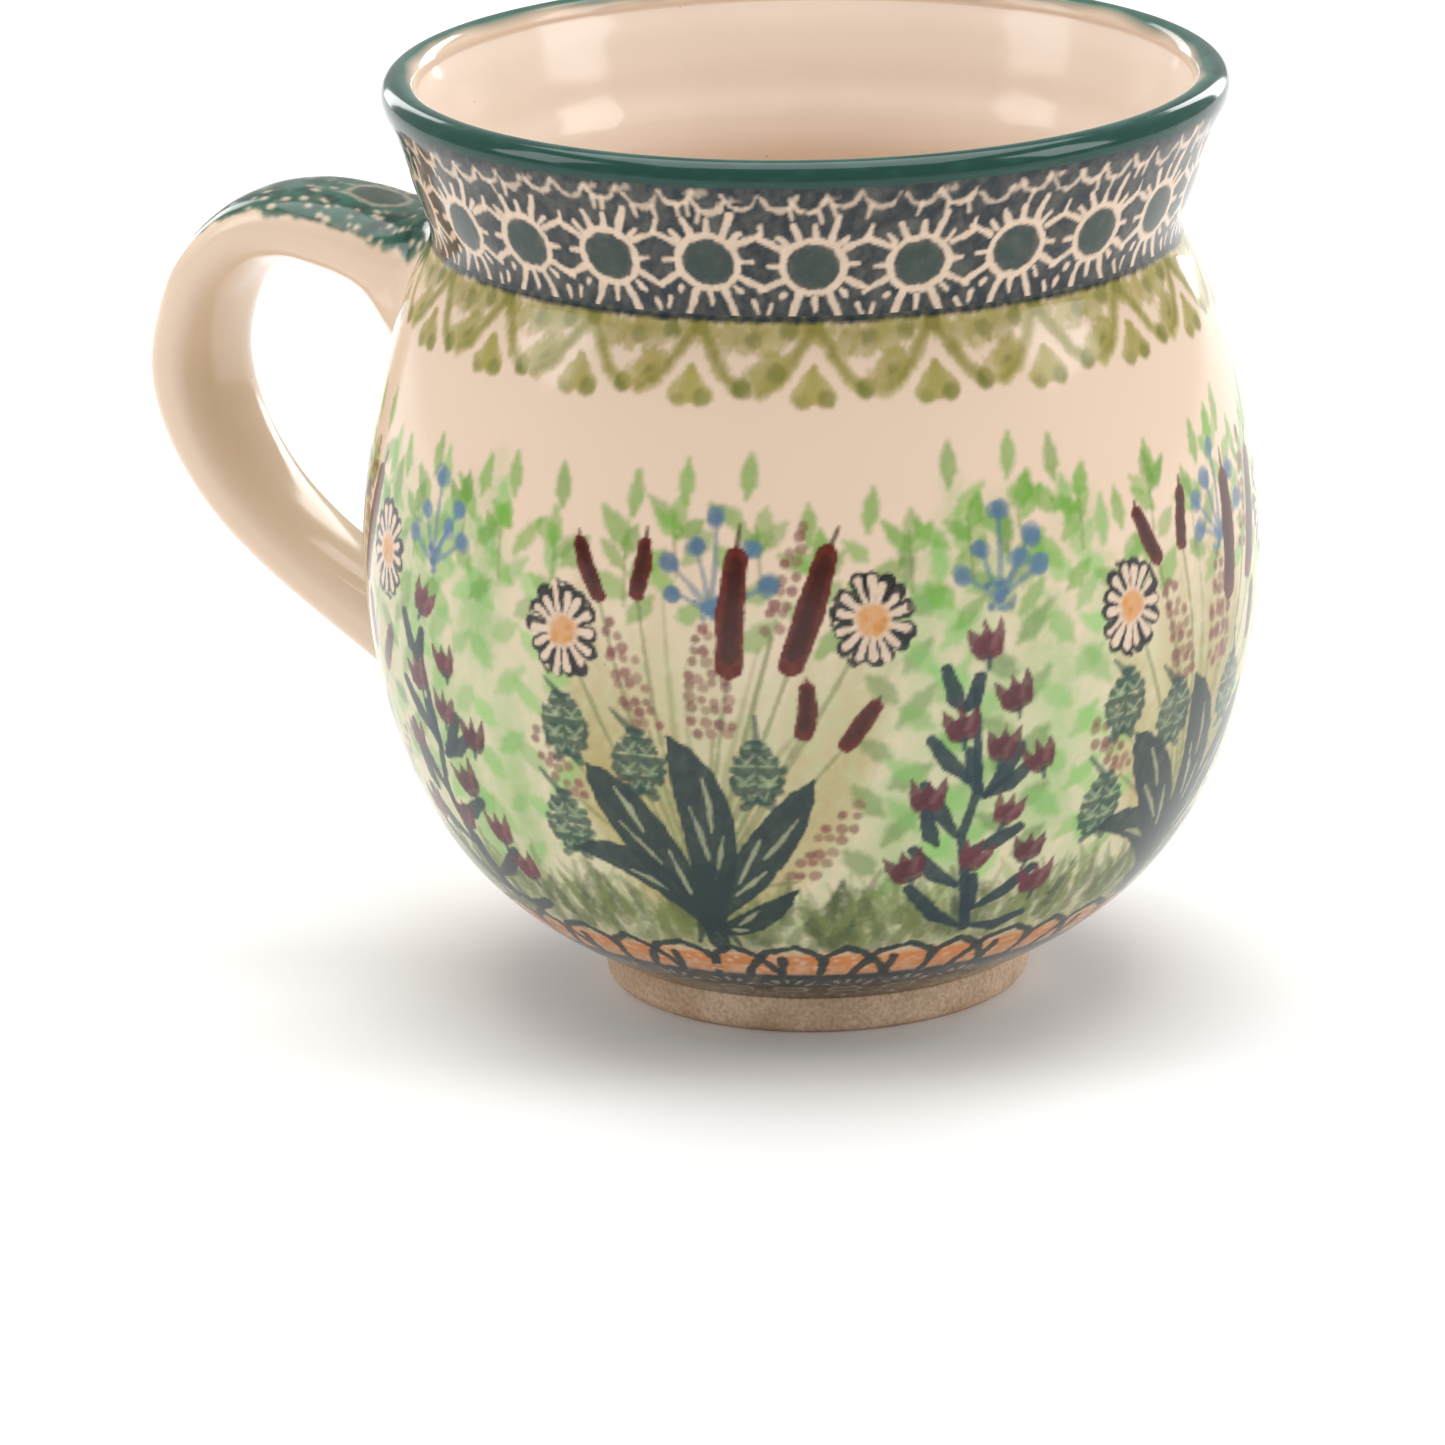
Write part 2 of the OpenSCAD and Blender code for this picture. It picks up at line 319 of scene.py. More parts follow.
def ink_band(sheet):
    """Sponges the dark ground of the sun band; its ragged lower edge of cell ends comes later, from ragged_cells."""
    ground = varied(CELL_TEAL, 0.0)
    cover = np.clip((sheet.heights - BAND_LOW) / 0.5, 0, 1)[:, None]
    cover = np.clip(cover * (0.965 - 0.03 * sheet.mottle), 0, 1)
    tint = ground + 0.2 * np.clip(sheet.mottle, -0.5, 2)[..., None] * (SUN_GREEN - ground)
    sheet.colour += (tint - sheet.colour) * cover[..., None]


def ragged_cells(sheet, angle):
    """The ends of the dark cells below one sun, which stop unevenly."""
    for x in (-4.4, -2.7, -0.8, 0.9, 2.6, 4.4):
        at = sheet.spot(angle + hand.uniform(-0.5, 0.5), NECK_Z)
        low = -0.1 - hand.uniform(0.0, 0.55)
        sheet.stroke([at(x - 0.6, 0.5 + low), at(x + 0.6, 0.5 + low)], 1.5, varied(CELL_TEAL), 0.93, 0.3, 0.08)


def stamp_sun(sheet, angle):
    at = sheet.spot(angle, SUN_Z + hand.uniform(-0.4, 0.25))
    ring = GROUND * 0.97
    sheet.dot(at(0, 0), 7.1, ring, 0.97, 0.14, 0.08)
    for start, end, width in SUN_RAYS:
        wander = hand.uniform(-0.14, 0.14, 4)
        sheet.stroke([at(start[0] + wander[0], start[1] + wander[1]), at(end[0] + wander[2], end[1] + wander[3])],
                     [1.1 * width, width * hand.uniform(0.7, 1.0)], ring, 0.95, 0.15, 0.08)
    sheet.dot(at(hand.uniform(-0.1, 0.1), hand.uniform(-0.1, 0.1)), 5.5, varied(CELL_TEAL, 0.06), 0.95, 0.16, 0.09)
    sheet.dot(at(0, 0), 4.9, varied(SUN_GREEN, 0.12), 0.75, 0.5, 0.1)


def looped_line(sheet):
    """Bare slip above the suns, left between the dark scallops that hang from the lip."""
    angle = 0.0
    while angle < 360:
        step = hand.uniform(4.2, 5.8)
        low = LOOP_Z + hand.uniform(-0.5, 0.5)
        at = sheet.spot(angle, low)
        sheet.stroke([at(-1.7, 1.5), at(-0.9, 0.3), at(0.2, 0.0), at(1.2, 0.4), at(1.9, 1.6)],
                     [0.4, 0.6, hand.uniform(0.5, 0.9), 0.6, 0.4], GROUND * 0.97, hand.uniform(0.65, 0.95), 0.2, 0.12)
        for x in (-1.0, 0.1, 1.2):
            if hand.uniform() < 0.35:
                sheet.stroke([at(x, 0.2), at(x + hand.uniform(-0.4, 0.4), -1.1)], [0.6, 0.4], GROUND * 0.97, 0.8, 0.2)
        if hand.uniform() < 0.5:
            sheet.stroke([at(1.8, 1.3), at(3.2, 1.6)], [0.9, 0.6], GROUND * 0.97, hand.uniform(0.4, 0.8), 0.3, 0.2)
        angle += step


ink_band(neck)
for k in range(SUNS):
    stamp_sun(neck, FIRST_SUN + k * SUN_PITCH)
looped_line(neck)
print(SUNS, "suns stamped, one every", round(SUN_PITCH * np.pi / 180 * NECK_R, 1), "mm")

# %% [markdown]
# ## Meadow washes
# Thin colour goes on first: olive behind each bouquet, pale green between them, and a ragged fringe of
# small leaves above. A wash fades at its edges and lets the slip show through, so it is laid with wide
# soft strokes at low strength.

# %% Lay the washes
BOUQUETS = (-15.8, 60.2, 129.5, 198.9, -91.8)
FOXGLOVES = (24.5, 94.5, 164.0, 233.5, -55.0)


def wash_between(sheet):
    sheet.wash(10.0, 60.0, 8.0, 18.0, WASH_PALE, 0.5)
    for centre in FOXGLOVES:
        for _ in range(46):
            at = (centre + hand.uniform(-15, 15), hand.uniform(20, 60))
            sheet.stroke([at, (at[0] + hand.uniform(-2, 2), at[1] + hand.uniform(4, 9))],
                         [hand.uniform(3, 6), 2.0], varied(WASH_GREEN), hand.uniform(0.15, 0.4), 1.6, 0.3, 0.2)


def wash_behind_bouquet(sheet, centre):
    for _ in range(34):
        lean = hand.uniform(-1, 1)
        foot = (centre + lean * 6 + hand.uniform(-1, 1), hand.uniform(16, 22))
        tip = (centre + 3 + lean * 23, hand.uniform(44, 62) - 6 * abs(lean))
        middle = ((foot[0] + tip[0]) / 2 + lean * 3, (foot[1] + tip[1]) / 2)
        sheet.stroke([foot, middle, tip], [3.0, 5.0, 1.5], varied(WASH_OLIVE), hand.uniform(0.12, 0.32), 1.3, 0.3, 0.2)


wash_between(belly)
for centre in BOUQUETS:
    wash_behind_bouquet(belly, centre)
print("washes laid behind", len(BOUQUETS), "bouquets")

# %% [markdown]
# ## Leaves, fringe and grass
# Small leaves are one press of a brush: they start and end in a point. They climb in pairs up unseen
# stems between the bouquets, sharpest at the fringe, and the grass is dragged upward from the border.

# %% Press the leaves


def leaf(sheet, foot, tip, width, colour, strength=0.9, soft=0.18):
    """One press of a round brush, from a pointed foot to a pointed tip."""
    foot, tip = np.array(foot, float), np.array(tip, float)
    places = [foot + (tip - foot) * t for t in (0.0, 0.35, 0.65, 1.0)]
    sheet.stroke(places, [0.3 * width, width, 0.9 * width, 0.3 * width], colour, strength, soft, 0.1)


def leafy_sprig(sheet, angle, low, high, strength, soft, colour, size=3.4):
    """Leaves in loose pairs up a stem that leans a little."""
    lean = hand.uniform(-0.12, 0.12)
    height = low
    side = 1
    while height < high:
        at = sheet.spot(angle + lean * (height - low), height)
        length = size * hand.uniform(0.75, 1.2)
        rise = hand.uniform(0.35, 0.9)
        leaf(sheet, at(0.3 * side, 0), at(side * length * 0.8, length * rise), size * hand.uniform(0.42, 0.6),
             varied(colour, 0.16), strength * hand.uniform(0.75, 1.0), soft)
        side = -side
        height += size * hand.uniform(0.55, 0.8)
    at = sheet.spot(angle + lean * (high - low), height)
    leaf(sheet, at(0, 0), at(hand.uniform(-0.6, 0.8), size), size * 0.42, varied(colour, 0.12), strength, soft)


def foliage(sheet):
    for centre in FOXGLOVES:
        for offset in np.arange(-17, 17.5, 6.8):
            angle = centre + offset + hand.uniform(-1, 1)
            leafy_sprig(sheet, angle, hand.uniform(21, 28), hand.uniform(54, 60), 0.75, 0.5,
                        LEAF_LIGHT if hand.uniform() < 0.85 else MOSS, 4.6)
    for angle in np.arange(-180, 180, 8.2):
        low = hand.uniform(48, 54)
        leafy_sprig(sheet, angle + hand.uniform(-1.5, 1.5), low, low + hand.uniform(8, 13), 0.75, 0.42, LEAF_GREEN, 4.2)
    for angle in np.arange(-178, 180, 9.0):
        at = sheet.spot(angle + hand.uniform(-2, 2), hand.uniform(57, 63))
        sheet.stroke([at(0, -4), at(hand.uniform(-0.5, 0.5), 2)], [0.5, 0.3], varied(GRASS), 0.5, 0.25)
        for side in (-1, 1):
            if hand.uniform() < 0.7:
                leaf(sheet, at(side * 0.2, 0), at(side * hand.uniform(2.0, 3.2), hand.uniform(1.6, 3.0)), 1.8,
                     varied(LEAF_GREEN, 0.18), hand.uniform(0.5, 0.85), 0.38)
        leaf(sheet, at(0, 1.0), at(hand.uniform(-0.8, 1.2), hand.uniform(3.8, 5.4)), 2.0, varied(LEAF_GREEN, 0.18),
             hand.uniform(0.6, 0.9), 0.38)


def grass(sheet):
    sheet.wash(12.5, 22.0, 2.0, 12.0, MOSS, 0.68)
    for _ in range(900):
        angle = hand.uniform(-180, 180)
        foot = hand.uniform(13.6, 19.5)
        rise = hand.uniform(2.5, 6.5)
        lean = hand.uniform(-4.0, 4.0)
        sheet.stroke([(angle, foot), (angle + lean * 0.35, foot + rise * 0.5), (angle + lean, foot + rise)],
                     [1.5, 1.2, 0.3], varied(GRASS if hand.uniform() < 0.55 else GRASS_DARK, 0.2),
                     hand.uniform(0.3, 0.7), 0.28, 0.12, 0.12)


foliage(belly)
grass(belly)
print("leaves pressed and grass dragged")

# %% [markdown]
# ## The bouquets
# Each of the five bouquets is the same drawing, made again by hand: daisies outlined in ink, bulrushes,
# a blue umbel, mauve lupins, teal buds and a fan of dark leaves. The places are offsets from the
# bouquet's foot, in degrees round the mug and millimetres of height, so one list serves all five.

# %% Flowers by the brush
BOUQUET_FOOT_Z = 15.5
DAISY_PETALS = 14


def daisy(sheet, angle, height, tilt):
    at = sheet.spot(angle, height)
    for layer in (0, 1):
        for k in range(DAISY_PETALS):
            turn = 2 * np.pi * (k + 0.5 * tilt) / DAISY_PETALS + hand.uniform(-0.07, 0.07)
            long = hand.uniform(0.86, 1.04)
            ray = np.array([np.cos(turn) * 4.0, np.sin(turn) * 5.0]) * long
            start, end = ray * 0.42, ray * 0.86
            if layer == 0:
                sheet.stroke([at(*start), at(*(end * 1.05))], [1.25, 1.95], varied(INK, 0.1), 0.98, 0.12, 0.08, 0.02)
            else:
                sheet.stroke([at(*start), at(*(end * hand.uniform(0.95, 1.14)))], [0.5, hand.uniform(0.75, 1.12)],
                             GROUND * 0.98, 0.95, 0.12, 0.08)
    for k in range(5):
        turn = hand.uniform(0, 2 * np.pi)
        sheet.stroke([at(np.cos(turn) * 4.0, np.sin(turn) * 5.0),
                      at(np.cos(turn + 0.25) * 4.2, np.sin(turn + 0.25) * 5.2)], 0.5, INK, 0.9, 0.12, 0.1)
    sheet.dot(at(0, 0), 4.0, GROUND * 0.98, 0.9, 0.3)
    sheet.dot(at(0.1, 0.0), 3.3, varied(DAISY_GOLD, 0.05), 0.72, 0.55, 0.2)
    for _ in range(7):
        x, y = hand.uniform(-1.3, 1.3, 2)
        sheet.dot(at(x, y), 0.7, varied(DAISY_GOLD, 0.25), 0.6, 0.2)


def bulrush(sheet, tip, top, bottom, width):
    """A brown bulrush: two or three pulls of a loaded brush, redder where the colour is thin."""
    top, bottom = np.array(top, float), np.array(bottom, float)
    middle = (top + bottom) / 2 + np.array([hand.uniform(-0.3, 0.3), 0])
    sheet.stroke([tip, top], [0.4, 0.8], CAT_BROWN, 0.8, 0.14)
    sheet.stroke([top, middle, bottom], [width * 0.8, width, width * 0.9], varied(CAT_RED, 0.1), 0.98, 0.12, 0.07, 0.01)
    sheet.stroke([top + (bottom - top) * 0.06, bottom + (middle - bottom) * 0.2], [width * 0.5, width * 0.62],
                 varied(CAT_BROWN, 0.1), 0.8, 0.4, 0.1, 0.1)
    at = sheet.spot(bottom[0], bottom[1])
    for x in (-0.3, 0.25):
        sheet.dot(at(x * width, hand.uniform(-0.5, 0.1)), width * 0.35, CAT_RED, 0.9, 0.12)


def umbel(sheet, hub, balls):
    """Blue balls on thin blue stalks that meet at a hub."""
    for ball in balls:
        ball = np.array(ball, float)
        sheet.stroke([hub, (np.array(hub) + ball) / 2 + hand.uniform(-0.2, 0.2, 2), ball], [0.95, 0.6, 0.45],
                     BERRY_BLUE, 0.62, 0.2)
        for _ in range(3):
            at = sheet.spot(*ball)
            sheet.dot(at(*hand.uniform(-0.4, 0.4, 2)), hand.uniform(1.6, 2.3), varied(BERRY_BLUE, 0.12), 0.6, 0.22)
    at = sheet.spot(*hub)
    for _ in range(12):
        sheet.dot(at(hand.uniform(-1.6, 1.6), hand.uniform(-1.3, 1.6)), 0.8, varied(BERRY_BLUE, 0.2), 0.65, 0.2)


def lupin(sheet, top, foot, widest=4):
    """A spike of small mauve dabs, two to four across."""
    top, foot = np.array(top, float), np.array(foot, float)
    length = abs(top[1] - foot[1])
    steps = max(int(length / 1.25), 4)
    for i in range(steps):
        t = (i + 0.5) / steps
        middle = top + (foot - top) * t
        across = 1 + int(round((widest - 1) * min(1, 2.2 * t) * (1.15 - 0.35 * t)))
        at = sheet.spot(*middle)
        for j in range(across):
            x = (j - (across - 1) / 2) * 1.32 + hand.uniform(-0.25, 0.25)
            sheet.dot(at(x, hand.uniform(-0.3, 0.3) + 0.3 * (i % 2)), hand.uniform(1.0, 1.35),
                      varied(LUPIN_MAUVE, 0.2), hand.uniform(0.55, 0.85), 0.2)


BUD_ROWS = ((-3.1, 1.1), (-2.1, 2.0), (-1.0, 2.35), (0.1, 2.3), (1.2, 1.9), (2.2, 1.2), (3.1, 0.5))  # height, half width


def bud(sheet, top, centre, foot):
    """A teal bud head: an oval of colour parted by pale curled gaps, over a short stalk."""
    at = sheet.spot(*centre)
    for y, half in BUD_ROWS:
        sheet.stroke([at(-half, y), at(half, y)], 1.3, varied(BUD_TEAL, 0.15), 0.92, 0.2, 0.15)
    for row, (y, half) in enumerate(BUD_ROWS[:-1]):
        side = 1 if row % 2 else -1
        for x in (-0.55 * half, 0.55 * half):
            sheet.stroke([at(x - 0.45 * half, y + 0.55), at(x, y + 0.2 + 0.4 * side), at(x + 0.4 * half, y + 0.75)],
                         [0.16, 0.38, 0.14], varied(WASH_PALE), 0.5, 0.2, 0.1)
    sheet.stroke([at(0, 2.9), top], [1.2, 0.4], varied(BUD_TEAL, 0.15), 0.8, 0.2)
    for x in (-1.0, 1.0):
        sheet.stroke([at(0, -3.2), at(1.5 * x, -4.1)], [0.7, 1.0], varied(BUD_TEAL, 0.15), 0.8, 0.18)
    sheet.stroke([at(0, -3.4), foot], [0.8, 0.6], varied(BUD_TEAL, 0.15), 0.6, 0.25)


SLITS = (  # from and to along the leaf, then how far to each side
    (1.5, 3.3, -0.12, -0.5), (2.6, 4.9, 0.16, 0.52), (4.0, 6.2, -0.10, -0.4), (5.4, 7.2, 0.06, 0.2))


def slit_leaf(sheet, foot, middle, tip, width, slits=4):
    """A broad dark leaf with pale lens-shaped slits either side of its midrib."""
    foot, middle, tip = (np.array(p, float) for p in (foot, middle, tip))
    t = np.linspace(0, 1, 9)[:, None]
    spine = (1 - t) ** 2 * foot + 2 * t * (1 - t) * (2 * middle - 0.5 * (foot + tip)) + t**2 * tip
    swell = np.array([0.35, 0.6, 0.84, 0.98, 1.02, 0.98, 0.86, 0.58, 0.08]) * width
    sheet.stroke(spine, swell, varied(LEAF_TEAL, 0.1), 0.98, 0.13, 0.06, 0.02)
    degree = np.pi / 180 * np.interp(middle[1], sheet.heights, sheet.radii)
    flat = spine * (degree, 1)

    def inside(k, offset):
        way = np.array([np.interp(min(k + 0.5, 8), range(9), flat[:, c]) - np.interp(max(k - 0.5, 0), range(9), flat[:, c])
                        for c in (0, 1)])
        way /= np.linalg.norm(way)
        place = np.array([np.interp(k, range(9), flat[:, c]) for c in (0, 1)])
        place = place + np.array([-way[1], way[0]]) * offset * np.interp(k, range(9), swell) / 2
        return place / (degree, 1)

    for low, high, near, far in SLITS[:slits]:
        wander = hand.uniform(-0.3, 0.3)
        line = [inside(low + wander, near), inside((low + high) / 2 + wander, (near + far) / 2), inside(high + wander, far)]
        sheet.stroke(line, [0.25, hand.uniform(0.5, 0.75), 0.2], varied(SLIT_PALE), 0.8, 0.15, 0.06)


print("brush marks for daisies, bulrushes, umbels, lupins, buds and leaves are ready")

# %% Paint the bouquets
DAISIES = ((-16.8, 50.3), (23.1, 52.8))
BULRUSHES = (  # tip, top, bottom, width in mm
    ((-14.8, 60.9), (-14.5, 59.6), (-11.7, 54.6), 2.1), ((-5.3, 61.9), (-5.5, 60.2), (-6.4, 55.2), 2.0),
    ((6.7, 62.6), (6.3, 59.3), (5.4, 48.0), 3.1), ((19.2, 62.4), (17.6, 59.6), (13.1, 48.5), 3.1),
    ((14.9, 46.8), (14.9, 45.7), (14.5, 41.0), 2.2), ((23.9, 44.6), (23.3, 43.6), (19.8, 39.6), 2.1))
UMBEL_HUB, UMBEL_BALLS = (3.2, 53.9), ((3.8, 63.3), (1.1, 60.4), (-2.1, 58.6), (-1.7, 55.6), (8.4, 60.2), (10.4, 56.6))
LUPINS = (((-10.4, 52.4), (-5.2, 40.4), 3), ((2.1, 52.6), (3.1, 39.9), 4), ((14.8, 63.5), (10.7, 51.2), 2),
          ((22.2, 33.1), (13.2, 23.5), 3), ((-22.4, 39.2), (-16.3, 31.5), 3))
BUDS = (((-19.7, 44.9), (-17.2, 40.1), (-17.2, 37.1)), ((-10.3, 42.5), (-7.0, 37.0), (-6.8, 34.3)),
        ((8.4, 42.7), (8.5, 36.5), (8.3, 33.8)), ((-22.1, 34.4), (-18.9, 28.7), (-18.3, 26.4)))
LEAVES = (  # foot, middle, tip, width in mm, slits
    ((-0.5, 17.0), (-8.5, 24.0), (-18.5, 25.6), 3.9, 2), ((0.5, 17.0), (6.0, 18.0), (13.2, 22.4), 3.2, 2),
    ((-0.3, 18.0), (-7.5, 28.2), (-14.5, 35.8), 5.6, 3), ((0.8, 18.5), (8.6, 26.5), (15.6, 35.6), 4.8, 3),
    ((0.2, 18.0), (1.6, 30.0), (-2.8, 40.0), 5.6, 3))


def bouquet(sheet, foot):
    def here(place):
        return (foot + place[0], place[1])

    heads = [d for d in DAISIES] + [b[2] for b in BULRUSHES] + [l[1] for l in LUPINS] + [b[2] for b in BUDS]
    for head in heads:
        start = here((head[0] * 0.08, 22.0))
        bend = here((head[0] * 0.55, 22 + (head[1] - 22) * 0.5))
        sheet.stroke([start, bend, here(head)], [0.7, 0.5, 0.45], varied(STEM, 0.15), 0.6, 0.2)
    for blade in ((-9, 47), (-3, 56), (9, 50), (17, 44), (0, 48), (12, 56)):
        sheet.stroke([here((blade[0] * 0.1, 20)), here((blade[0] * 0.5, 36)), here(blade)], [1.2, 0.9, 0.15],
                     varied(GRASS, 0.15), 0.4, 0.3)
    for top, low, widest in LUPINS:
        lupin(sheet, here(top), here(low), widest)
    umbel(sheet, here(UMBEL_HUB), [here(b) for b in UMBEL_BALLS])
    for top, centre, low in BUDS:
        bud(sheet, here(top), here(centre), here(low))
    for start, middle, tip, width, slits in LEAVES:
        slit_leaf(sheet, here(start), here(middle), here(tip), width, slits)
    sheet.stroke([here((0.5, 24)), here((0.2, 19)), here((0, BOUQUET_FOOT_Z - 1.0))], [3.2, 3.4, 2.2],
                 varied(LEAF_TEAL, 0.08), 0.95, 0.15)
    for x in (-3.4, -1.5, 1.6, 3.3):
        sheet.stroke([here((x * 0.4, 18)), here((x, 14.6))], [1.4, 0.4], varied(LEAF_TEAL, 0.1), 0.9, 0.16)
    for tip, top, bottom, width in BULRUSHES:
        bulrush(sheet, here(tip), here(top), here(bottom), width)
    for k, place in enumerate(DAISIES):
        daisy(sheet, *here(place), tilt=k)


for foot in BOUQUETS:
    bouquet(belly, foot)
print(len(BOUQUETS), "bouquets of", len(DAISIES) + len(BULRUSHES) + len(LUPINS) + len(BUDS) + 1, "flower heads")

# %% [markdown]
# ## The foxgloves
# Between the bouquets stands a spike of plum bells on a dark stem. Each bell is a short cup with three
# points upward, in two tones.

# %% Paint the foxgloves
FOXGLOVE_FOOT_Z = 15.9
BELLS = ((-2.7, 49.6), (1.2, 43.6), (-5.9, 40.9), (-0.2, 38.1), (5.3, 36.0), (-10.0, 33.1), (1.4, 30.3), (5.7, 25.3),
         (-2.5, 25.3), (-12.2, 24.8), (8.3, 21.2))
FOXGLOVE_LEAVES = (((-5.5, 42.5), (-8.0, 47.0)), ((-5.5, 42.5), (-3.7, 45.8)), ((-4.6, 34.5), (-9.8, 39.3)),
                   ((-3.2, 33.0), (-4.6, 37.6)), ((-2.2, 32.4), (2.2, 37.5)), ((-2.2, 32.4), (4.4, 35.5)),
                   ((-5.7, 28.1), (-10.5, 34.3)), ((-8.4, 27.3), (-10.2, 31.1)), ((-4.8, 21.9), (-11.5, 26.7)),
                   ((-2.4, 16.2), (-11.5, 21.9)), ((-0.8, 18.4), (7.2, 22.7)), ((0.0, 16.0), (8.5, 16.5)),
                   ((-1.5, 17.0), (-2.3, 22.5)), ((-3.4, 26.0), (3.5, 28.0)))
SIDE_UMBEL_HUB = (-0.8, 53.9)
SIDE_UMBEL_BALLS = ((-0.4, 62.9), (-3.2, 59.4), (-5.6, 56.6), (3.8, 59.9), (5.2, 56.9), (2.0, 58.0))


def bell(sheet, angle, height, size=1.0):
    """A plum cup with three points, hung at some angle from its stalk."""
    at = sheet.spot(angle, height)
    lean = hand.uniform(-0.45, 0.45)

    def turned_place(x, y):
        return at(size * (x * np.cos(lean) + y * np.sin(lean)), size * (y * np.cos(lean) - x * np.sin(lean)))

    tone = varied(TULIP_PLUM, 0.25)
    sheet.stroke([turned_place(-0.35, -0.6), turned_place(0.35, -0.6)], 2.7 * size, tone, 0.93, 0.16, 0.1, 0.04)
    for x in (-1.3, 0.05, 1.35):
        sheet.stroke([turned_place(0.75 * x, -0.5), turned_place(1.05 * x, 0.5),
                      turned_place(1.35 * x, hand.uniform(1.5, 2.1))], [1.5 * size, 1.25 * size, 0.2], tone, 0.92, 0.15,
                     0.08, 0.03)
    sheet.stroke([turned_place(-0.4, -1.0), turned_place(0.5, 0.3)], [1.7 * size, 0.9 * size],
                 varied(TULIP_PLUM * 0.55, 0.1), 0.5, 0.4, 0.1, 0.2)
    sheet.stroke([turned_place(0.5, -0.6), turned_place(1.1, 0.5)], 0.6 * size, linear("#a97a76"), 0.3, 0.35, 0.1, 0.2)
    sheet.stroke([turned_place(0, -1.8), turned_place(-0.2, -2.7)], [0.7, 0.5], varied(LEAF_NAVY), 0.85, 0.16)


def foxglove(sheet, foot):
    stem = [(-4.2, 44.5), (-3.2, 33.1), (-5.0, 28.0), (-3.4, 22.0), (-1.2, FOXGLOVE_FOOT_Z)]
    sheet.stroke([(foot + a, z) for a, z in stem], [0.8, 1.1, 1.15, 1.2, 1.6], varied(LEAF_NAVY, 0.1), 0.96, 0.15, 0.07,
                 0.02)
    for start, tip in FOXGLOVE_LEAVES:
        bend = hand.uniform(-1.0, -0.3)
        middle = (foot + (start[0] + tip[0]) / 2, (start[1] + tip[1]) / 2 + bend)
        sheet.stroke([(foot + start[0], start[1]), middle, (foot + tip[0], tip[1])], [0.9, 2.0, 1.35],
                     varied(LEAF_NAVY, 0.12), 0.97, 0.14, 0.07, 0.02)
    umbel(sheet, (foot + SIDE_UMBEL_HUB[0], SIDE_UMBEL_HUB[1]), [(foot + a, z) for a, z in SIDE_UMBEL_BALLS])
    for angle, height in BELLS:
        bell(sheet, foot + angle, height, hand.uniform(0.92, 1.14))


for foot in FOXGLOVES:
    foxglove(belly, foot)
print(len(FOXGLOVES), "foxgloves of", len(BELLS), "bells")

# %% [markdown]
# ## Borders
# The last stamps close the painting above and below: an olive lace of legs and hearts under the sun
# band, and at the foot a chain of amber cells over a dark band of small ovals.

# %% Stamp the lace
LACE_PRINTS, LACE_Z, FIRST_LACE = 21, 82.3, 1.1


def lace(sheet, angle):
    at = sheet.spot(angle, LACE_Z)
    for x, y, w, h in ((-5.3, -4.8, 3.2, 2.8), (-4.1, -1.3, 2.8, 3.2), (5.4, -1.5, 2.6, 2.8), (7.5, -4.4, 2.8, 2.6),
                       (0.9, -1.2, 1.9, 1.6), (-1.7, -0.6, 1.9, 1.6), (2.9, -1.9, 2.2, 2.2)):
        sheet.stroke([at(x - w / 4, y - h / 4), at(x + w / 4, y + h / 4)], min(w, h), varied(LACE_SOFT), 0.72, 0.45, 0.25,
                     0.1)
    for x, y in ((-4.4, -5.4), (-2.8, -1.0), (5.5, -1.6), (7.9, -4.8)):
        sheet.dot(at(x, y), 1.9, varied(LACE_DARK, 0.12), 0.6, 0.4, 0.15)
    legs = (((0, 0), (1.7, -3.1), (3.0, -5.2), (4.5, -6.4)), ((0, 0), (-2.3, -3.5), (-3.7, -5.5), (-5.4, -6.5)))
    for leg in legs:
        sheet.stroke([at(x, y) for x, y in leg], [1.6, 1.6, 1.6, 1.9], varied(LACE_SOFT, 0.08), 0.8, 0.35, 0.12)
        sheet.stroke([at(x, y) for x, y in leg], 0.7, varied(LACE_OLIVE, 0.08), 0.6, 0.35, 0.12)
    sheet.dot(at(4.7, -6.3), 2.1, varied(LACE_DARK, 0.1), 0.75, 0.35)
    sheet.stroke([at(0, 0.8), at(0, -0.6)], [1.6, 1.8], varied(LACE_OLIVE, 0.08), 0.75, 0.3)
    heart = varied(LACE_SOFT)
    for x, y in ((-1.45, -7.0), (-0.3, -6.6), (0.75, -6.9)):
        sheet.stroke([at(-0.4, -4.4), at(x, y)], [0.9, 2.5], heart, 0.85, 0.3, 0.12)
    sheet.dot(at(0.85, -7.2), 1.8, varied(LACE_DARK, 0.1), 0.6, 0.4)
    sheet.dot(at(-1.6, -7.5), 1.4, varied(LACE_DARK, 0.1), 0.4, 0.4)


belly.wash(79.9, 83.2, 1.4, 0.3, LACE_SOFT, 0.55, 0.6)
for k in range(LACE_PRINTS):
    lace(belly, FIRST_LACE + k * 360 / LACE_PRINTS)
for k in range(SUNS):  # the dark cell ends lie over the lace
    ragged_cells(belly, FIRST_SUN + k * SUN_PITCH)
print(LACE_PRINTS, "lace prints, one every", round(2 * np.pi * 42.0 / LACE_PRINTS, 1), "mm")

# %% Paint the foot borders
BORDER_UNITS, BORDER_LOW, BORDER_TOP = 19, 9.5, 14.0
FIRST_CELL = -14.1
OVALS, FIRST_OVAL = 30, 5.8


